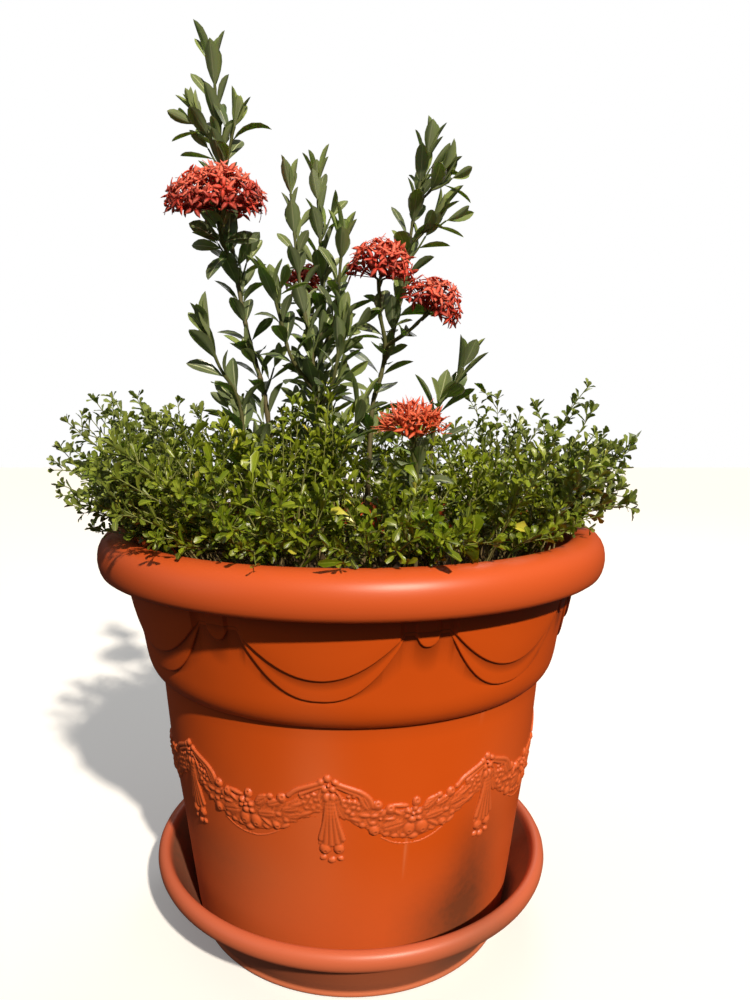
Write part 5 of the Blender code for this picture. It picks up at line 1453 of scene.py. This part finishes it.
# the long sprigs that give the bed its outline: where each one ends, in millimetres
bedTips = (
    (-266, 20, 528), (-252, 30, 533), (-230, 50, 529), (-281, -20, 506), (-283, -50, 469),
    (-278, -40, 444), (-258, -60, 433), (-276, 0, 475), (-235, 0, 508), (-212, 30, 499),
    (-189, 60, 525), (-174, 80, 516), (-140, 50, 502), (-119, 60, 526), (-236, -90, 411),
    (-200, -86, 434), (-206, -64, 440), (-194, -106, 430), (-211, -40, 444), (-183, -188, 450),
    (-195, -165, 454), (-208, -141, 450), (-216, -118, 446), (-200, -150, 470), (-190, -172, 440),
    (-176, -196, 442), (-205, -150, 438), (-214, -128, 434), (-222, -100, 436), (-196, -160, 446),
    (-210, -132, 462), (-186, -178, 462), (-226, -85, 448), (-188, -185, 474), (-176, -200, 466),
    (-199, -166, 484), (-210, -146, 478), (-184, -170, 490), (-170, -190, 482), (-194, -150, 494),
    (-218, -122, 474), (-180, -192, 490), (-206, -160, 464), (-192, -178, 456), (-224, -104, 462),
    (205, -78, 424), (192, -106, 420), (178, -132, 419), (162, -154, 418), (70, -90, 470),
    (92, -62, 478), (52, -62, 474), (100, -100, 462), (30, -98, 466), (82, -32, 482), (118, -74, 470),
    (12, -78, 474), (-6, -165, 432), (6, -150, 429), (-20, -158, 436), (-8, -150, 424), (0, -140, 426),
    (-12, -145, 420), (-230, -80, 463), (-262, -10, 498), (142, 100, 527), (160, 60, 529),
    (183, 50, 516), (206, 30, 503), (231, 20, 526), (243, 0, 514), (257, 0, 494), (277, -20, 478),
    (259, -40, 462), (256, -60, 445), (238, -80, 434), (216, -80, 454), (220, -100, 423),
    (168, -100, 465), (106, 0, 498), (-152, -185, 420), (-80, -228, 418), (-58, -222, 420),
    (-14, -232, 419), (32, -234, 418), (62, -226, 420), (105, -214, 420), (-36, -215, 428),
    (150, -180, 420))
sprigFacing = Vector((0.3, 0.2, 1))
bedOutline = ((0.0, 0.05), (0.4, 0.27), (0.78, 0.46), (1.0, 0.2))
bedBends = ((0.2, 0.25, 0.0, 0.0), (0.7, 0.15, 0.0, 0.3), (-0.3, 0.35, 0.0, -0.2), (1.1, 0.3, 0.0, 0.4))
bedBlades = shapeSet("bedBlade", [bladeShape("blade", bedOutline, 0.018, 1, *bend) for bend in bedBends])


def inRim(place):
    # true where a point is inside the pot's solid rim or hangs in front of it
    level = math.hypot(place.x, place.y)
    hangs = level > rimSet["inside"] and place.y < rimSet["front"] and place.z < rimSet["hangTop"]
    return hangs or rimSet["inside"] < level < rimSet["outside"] and place.z < rimSet["top"]


def leafRun(spots, path, pairEvery, size, wide, tones, first, luck):
    # opposite leaves along a thin stem, each pair turned from the last, then a small tuft at the end
    places = walk(path, pairEvery)
    turn = luck.uniform(0, 6.28)
    largeSize, largeChance = bedSet["large"]
    toneLow, toneHigh = tones
    for number, (place, along) in enumerate(places):
        share = (number + 1) / len(places)
        if share < first:
            continue
        _, across, above = frameOf(along, sprigFacing)
        turn += 1.57 + luck.uniform(-0.4, 0.4)
        for half in (0, math.pi):
            if luck.random() < bedSet["missing"]:
                continue
            side = across * math.cos(turn + half) + above * math.sin(turn + half)
            aim = side + along * luck.uniform(0.6, 1.7) + Vector((0, 0, 0.2))
            length = size * luck.uniform(*bedSet["lengths"])
            length *= largeSize if luck.random() < largeChance else 1.0
            # painted shade: darker low down, partly older leaves and partly shade under the canopy, and
            # darker on the left, away from the key light
            tone = toneLow + (toneHigh - toneLow) * share + luck.uniform(*bedSet["leafTones"])
            low = min(max((bedSet["shadeBelow"] - place.z) / 0.05, 0.0), 1.0)
            tone -= bedSet["shade"] * low + bedSet["leftShade"] * (place.x < -0.1)
            if luck.random() < bedSet["yellow"]:
                tone = 1.0
            shape = luck.choice((0, 1, 1, 2, 3))
            if not any(inRim(place + aim.normalized() * length * part) for part in (0.35, 0.7, 1.0)):
                spots.add(place, aim, along + Vector((0, 0, 0.4)), (length * wide, length, length), tone,
                          shape)
    place, along = places[-1]
    _, across, above = frameOf(along, sprigFacing)
    for k in range(4):
        turn += 1.57 if k == 2 else 0.0
        side = (across * math.cos(turn) + above * math.sin(turn)) * (1 if k % 2 else -1)
        aim = side * (0.75 - 0.12 * k) + along * 1.1 + Vector((0, 0, 0.15))
        length = size * luck.uniform(0.62, 0.95) * (1 - 0.08 * k)
        if not inRim(place + aim.normalized() * length):
            spots.add(place, aim, along, (length * wide * 1.1, length, length),
                      toneHigh + luck.uniform(-0.12, 0.22), luck.choice((0, 2, 1)))


def growSprig(spots, stems, root, tip, width, luck):
    # a thin stem that leans out and turns up, with short leafy twigs over its upper part
    outward = Vector((tip.x - root.x, tip.y - root.y, 0))
    upright = tip.z - root.z < 0.08
    bend = Vector((luck.uniform(-0.006, 0.006), luck.uniform(-0.006, 0.006), 0.012 * upright))
    path = smoothPath([root, root.lerp(tip, 0.5) - outward * 0.12 + bend, tip], 0.008)
    for point in path:                              # it climbs over the rim, not through it
        if rimSet["climbFrom"] < math.hypot(point.x, point.y) < rimSet["climbTo"]:
            point.z = max(point.z, rimSet["climb"])
    thick = bedSet["stem"]
    stems.add(path, thick * luck.uniform(0.9, 1.4), thick * 0.5, 0.0, 0.75)
    size = bedSet["leafLength"] * luck.uniform(*bedSet["sizes"])
    wide = width * luck.uniform(0.86, 1.16) / bedSet["leafLength"] / 0.88
    leafRun(spots, path, bedSet["pairEvery"], size, wide, bedSet["tones"], bedSet["bare"], luck)
    for place, along in walk(path, bedSet["twigEvery"])[1:-1]:
        if luck.random() < bedSet["twigMissing"] or place.z < bedSet["twigAbove"]:
            continue
        _, across, above = frameOf(along, sprigFacing)
        turn = luck.uniform(0, 6.28)
        heading = along * 0.9 + across * math.cos(turn) + above * math.sin(turn) + Vector((0, 0, 0.35))
        end = place + heading.normalized() * luck.uniform(*bedSet["twigLengths"])
        twig = smoothPath([place, place.lerp(end, 0.5) + along * 0.001, end], 0.004)
        stems.add(twig, thick * 0.62, thick * 0.4, 0.5, 1.0)
        leafRun(spots, twig, bedSet["twigPairs"], size * 0.88, wide, bedSet["twigTones"],
                bedSet["twigBare"], luck)


def keepInside(item, low, high):
    # nothing of a plant stands out of the box that its solids fill
    mesh = item.data
    points = np.empty(len(mesh.vertices) * 3)
    mesh.vertices.foreach_get("co", points)
    points = np.clip(points.reshape(-1, 3), np.array(low), np.array(high))
    mesh.vertices.foreach_set("co", points.ravel())
    mesh.update()


def rimClear(tip, reach):
    # a sprig that leans out passes over the rim and stays within its bush's reach
    level = Vector((tip.x, tip.y)).length
    if level > reach:
        tip.x, tip.y = tip.x * reach / level, tip.y * reach / level
        level = reach
    if level > rimSet["climbFrom"]:
        tip.z = max(tip.z, rimSet["tipLevel"] + 0.02 * (abs(tip.x) / level > 0.8))
    return tip


def buildBed():
    luck = random.Random(bedSet["seed"])
    outer = [bush for bush in bedBushes if bush[1] > bedSet["inner"]]
    tipsOf = {bush: [] for bush in bedBushes}
    for tip in bedTips:
        azimuth = math.degrees(math.atan2(tip[0], -tip[1]))
        nearest = min(outer, key=lambda bush: abs((bush[0] - azimuth + 180) % 360 - 180))
        tipsOf[nearest].append(millimetres(tip))
    for number, bush in enumerate(bedBushes):
        azimuth, distance, crown, reach = bush
        inner = distance < bedSet["inner"]
        spread = bedSet["spread"][inner]
        outward, sideways = around(azimuth, 1.0, 0.0), around(azimuth + 90, 1.0, 0.0)
        foot = around(azimuth, distance, bedSet["root"])
        spots, stems = Spots(), Stems()
        for _ in range(bedSet["sprigs"]):
            root = foot + sideways * luck.uniform(-1, 1) * spread * 0.8
            root += outward * luck.uniform(*bedSet["rootSpan"])
            tip = root + sideways * luck.uniform(-1, 1) * spread
            if inner:
                tip += Vector((luck.uniform(-1, 1), luck.uniform(-1, 1), 0)) * 0.024
                tip.z = crown - luck.uniform(0.0, 0.065)
            else:
                lean = luck.random()
                tip += outward * (reach - 0.032 - distance) * lean
                tip.z = crown - 0.014 - 0.085 * lean * luck.random() - luck.uniform(0, 0.035)
                tip = rimClear(tip, reach - 0.026)
            # the leaves are broader at both sides and on the tall sprigs
            broad = tip.x > 0.19 or tip.x < -0.22 or tip.z > 0.506 and abs(tip.x) > 0.12
            growSprig(spots, stems, root, tip, bedSet["broad" if broad else "leafWidth"], luck)
        for tip in tipsOf[bush]:
            root = foot + sideways * luck.uniform(-1, 1) * 0.03 + outward * luck.uniform(-0.01, 0.034)
            broad = tip.x > 0.13 or tip.x < -0.2 and tip.z > 0.455
            growSprig(spots, stems, root, tip, bedSet["broad" if broad else "leafWidth"], luck)
        name = f"bedding{number + 1:02d}"
        leaves = spots.bake(name + "Leaves", bedBlades, bedLeaf, 0.08, 0.15, 11)
        wood = stems.bake(name + "Stems", bedStem, 4)
        for piece in (leaves, wood):
            keepInside(piece, cadBox[0], cadBox[1])
            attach(piece, "root")
        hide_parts(f"bush_{number + 1:02d}")
        print(name, "leaves", len(spots.points))


buildBed()
for group in (ixoraBlades, bloomShapes, bedBlades):
    dropSet(group)
print("bedding grown")
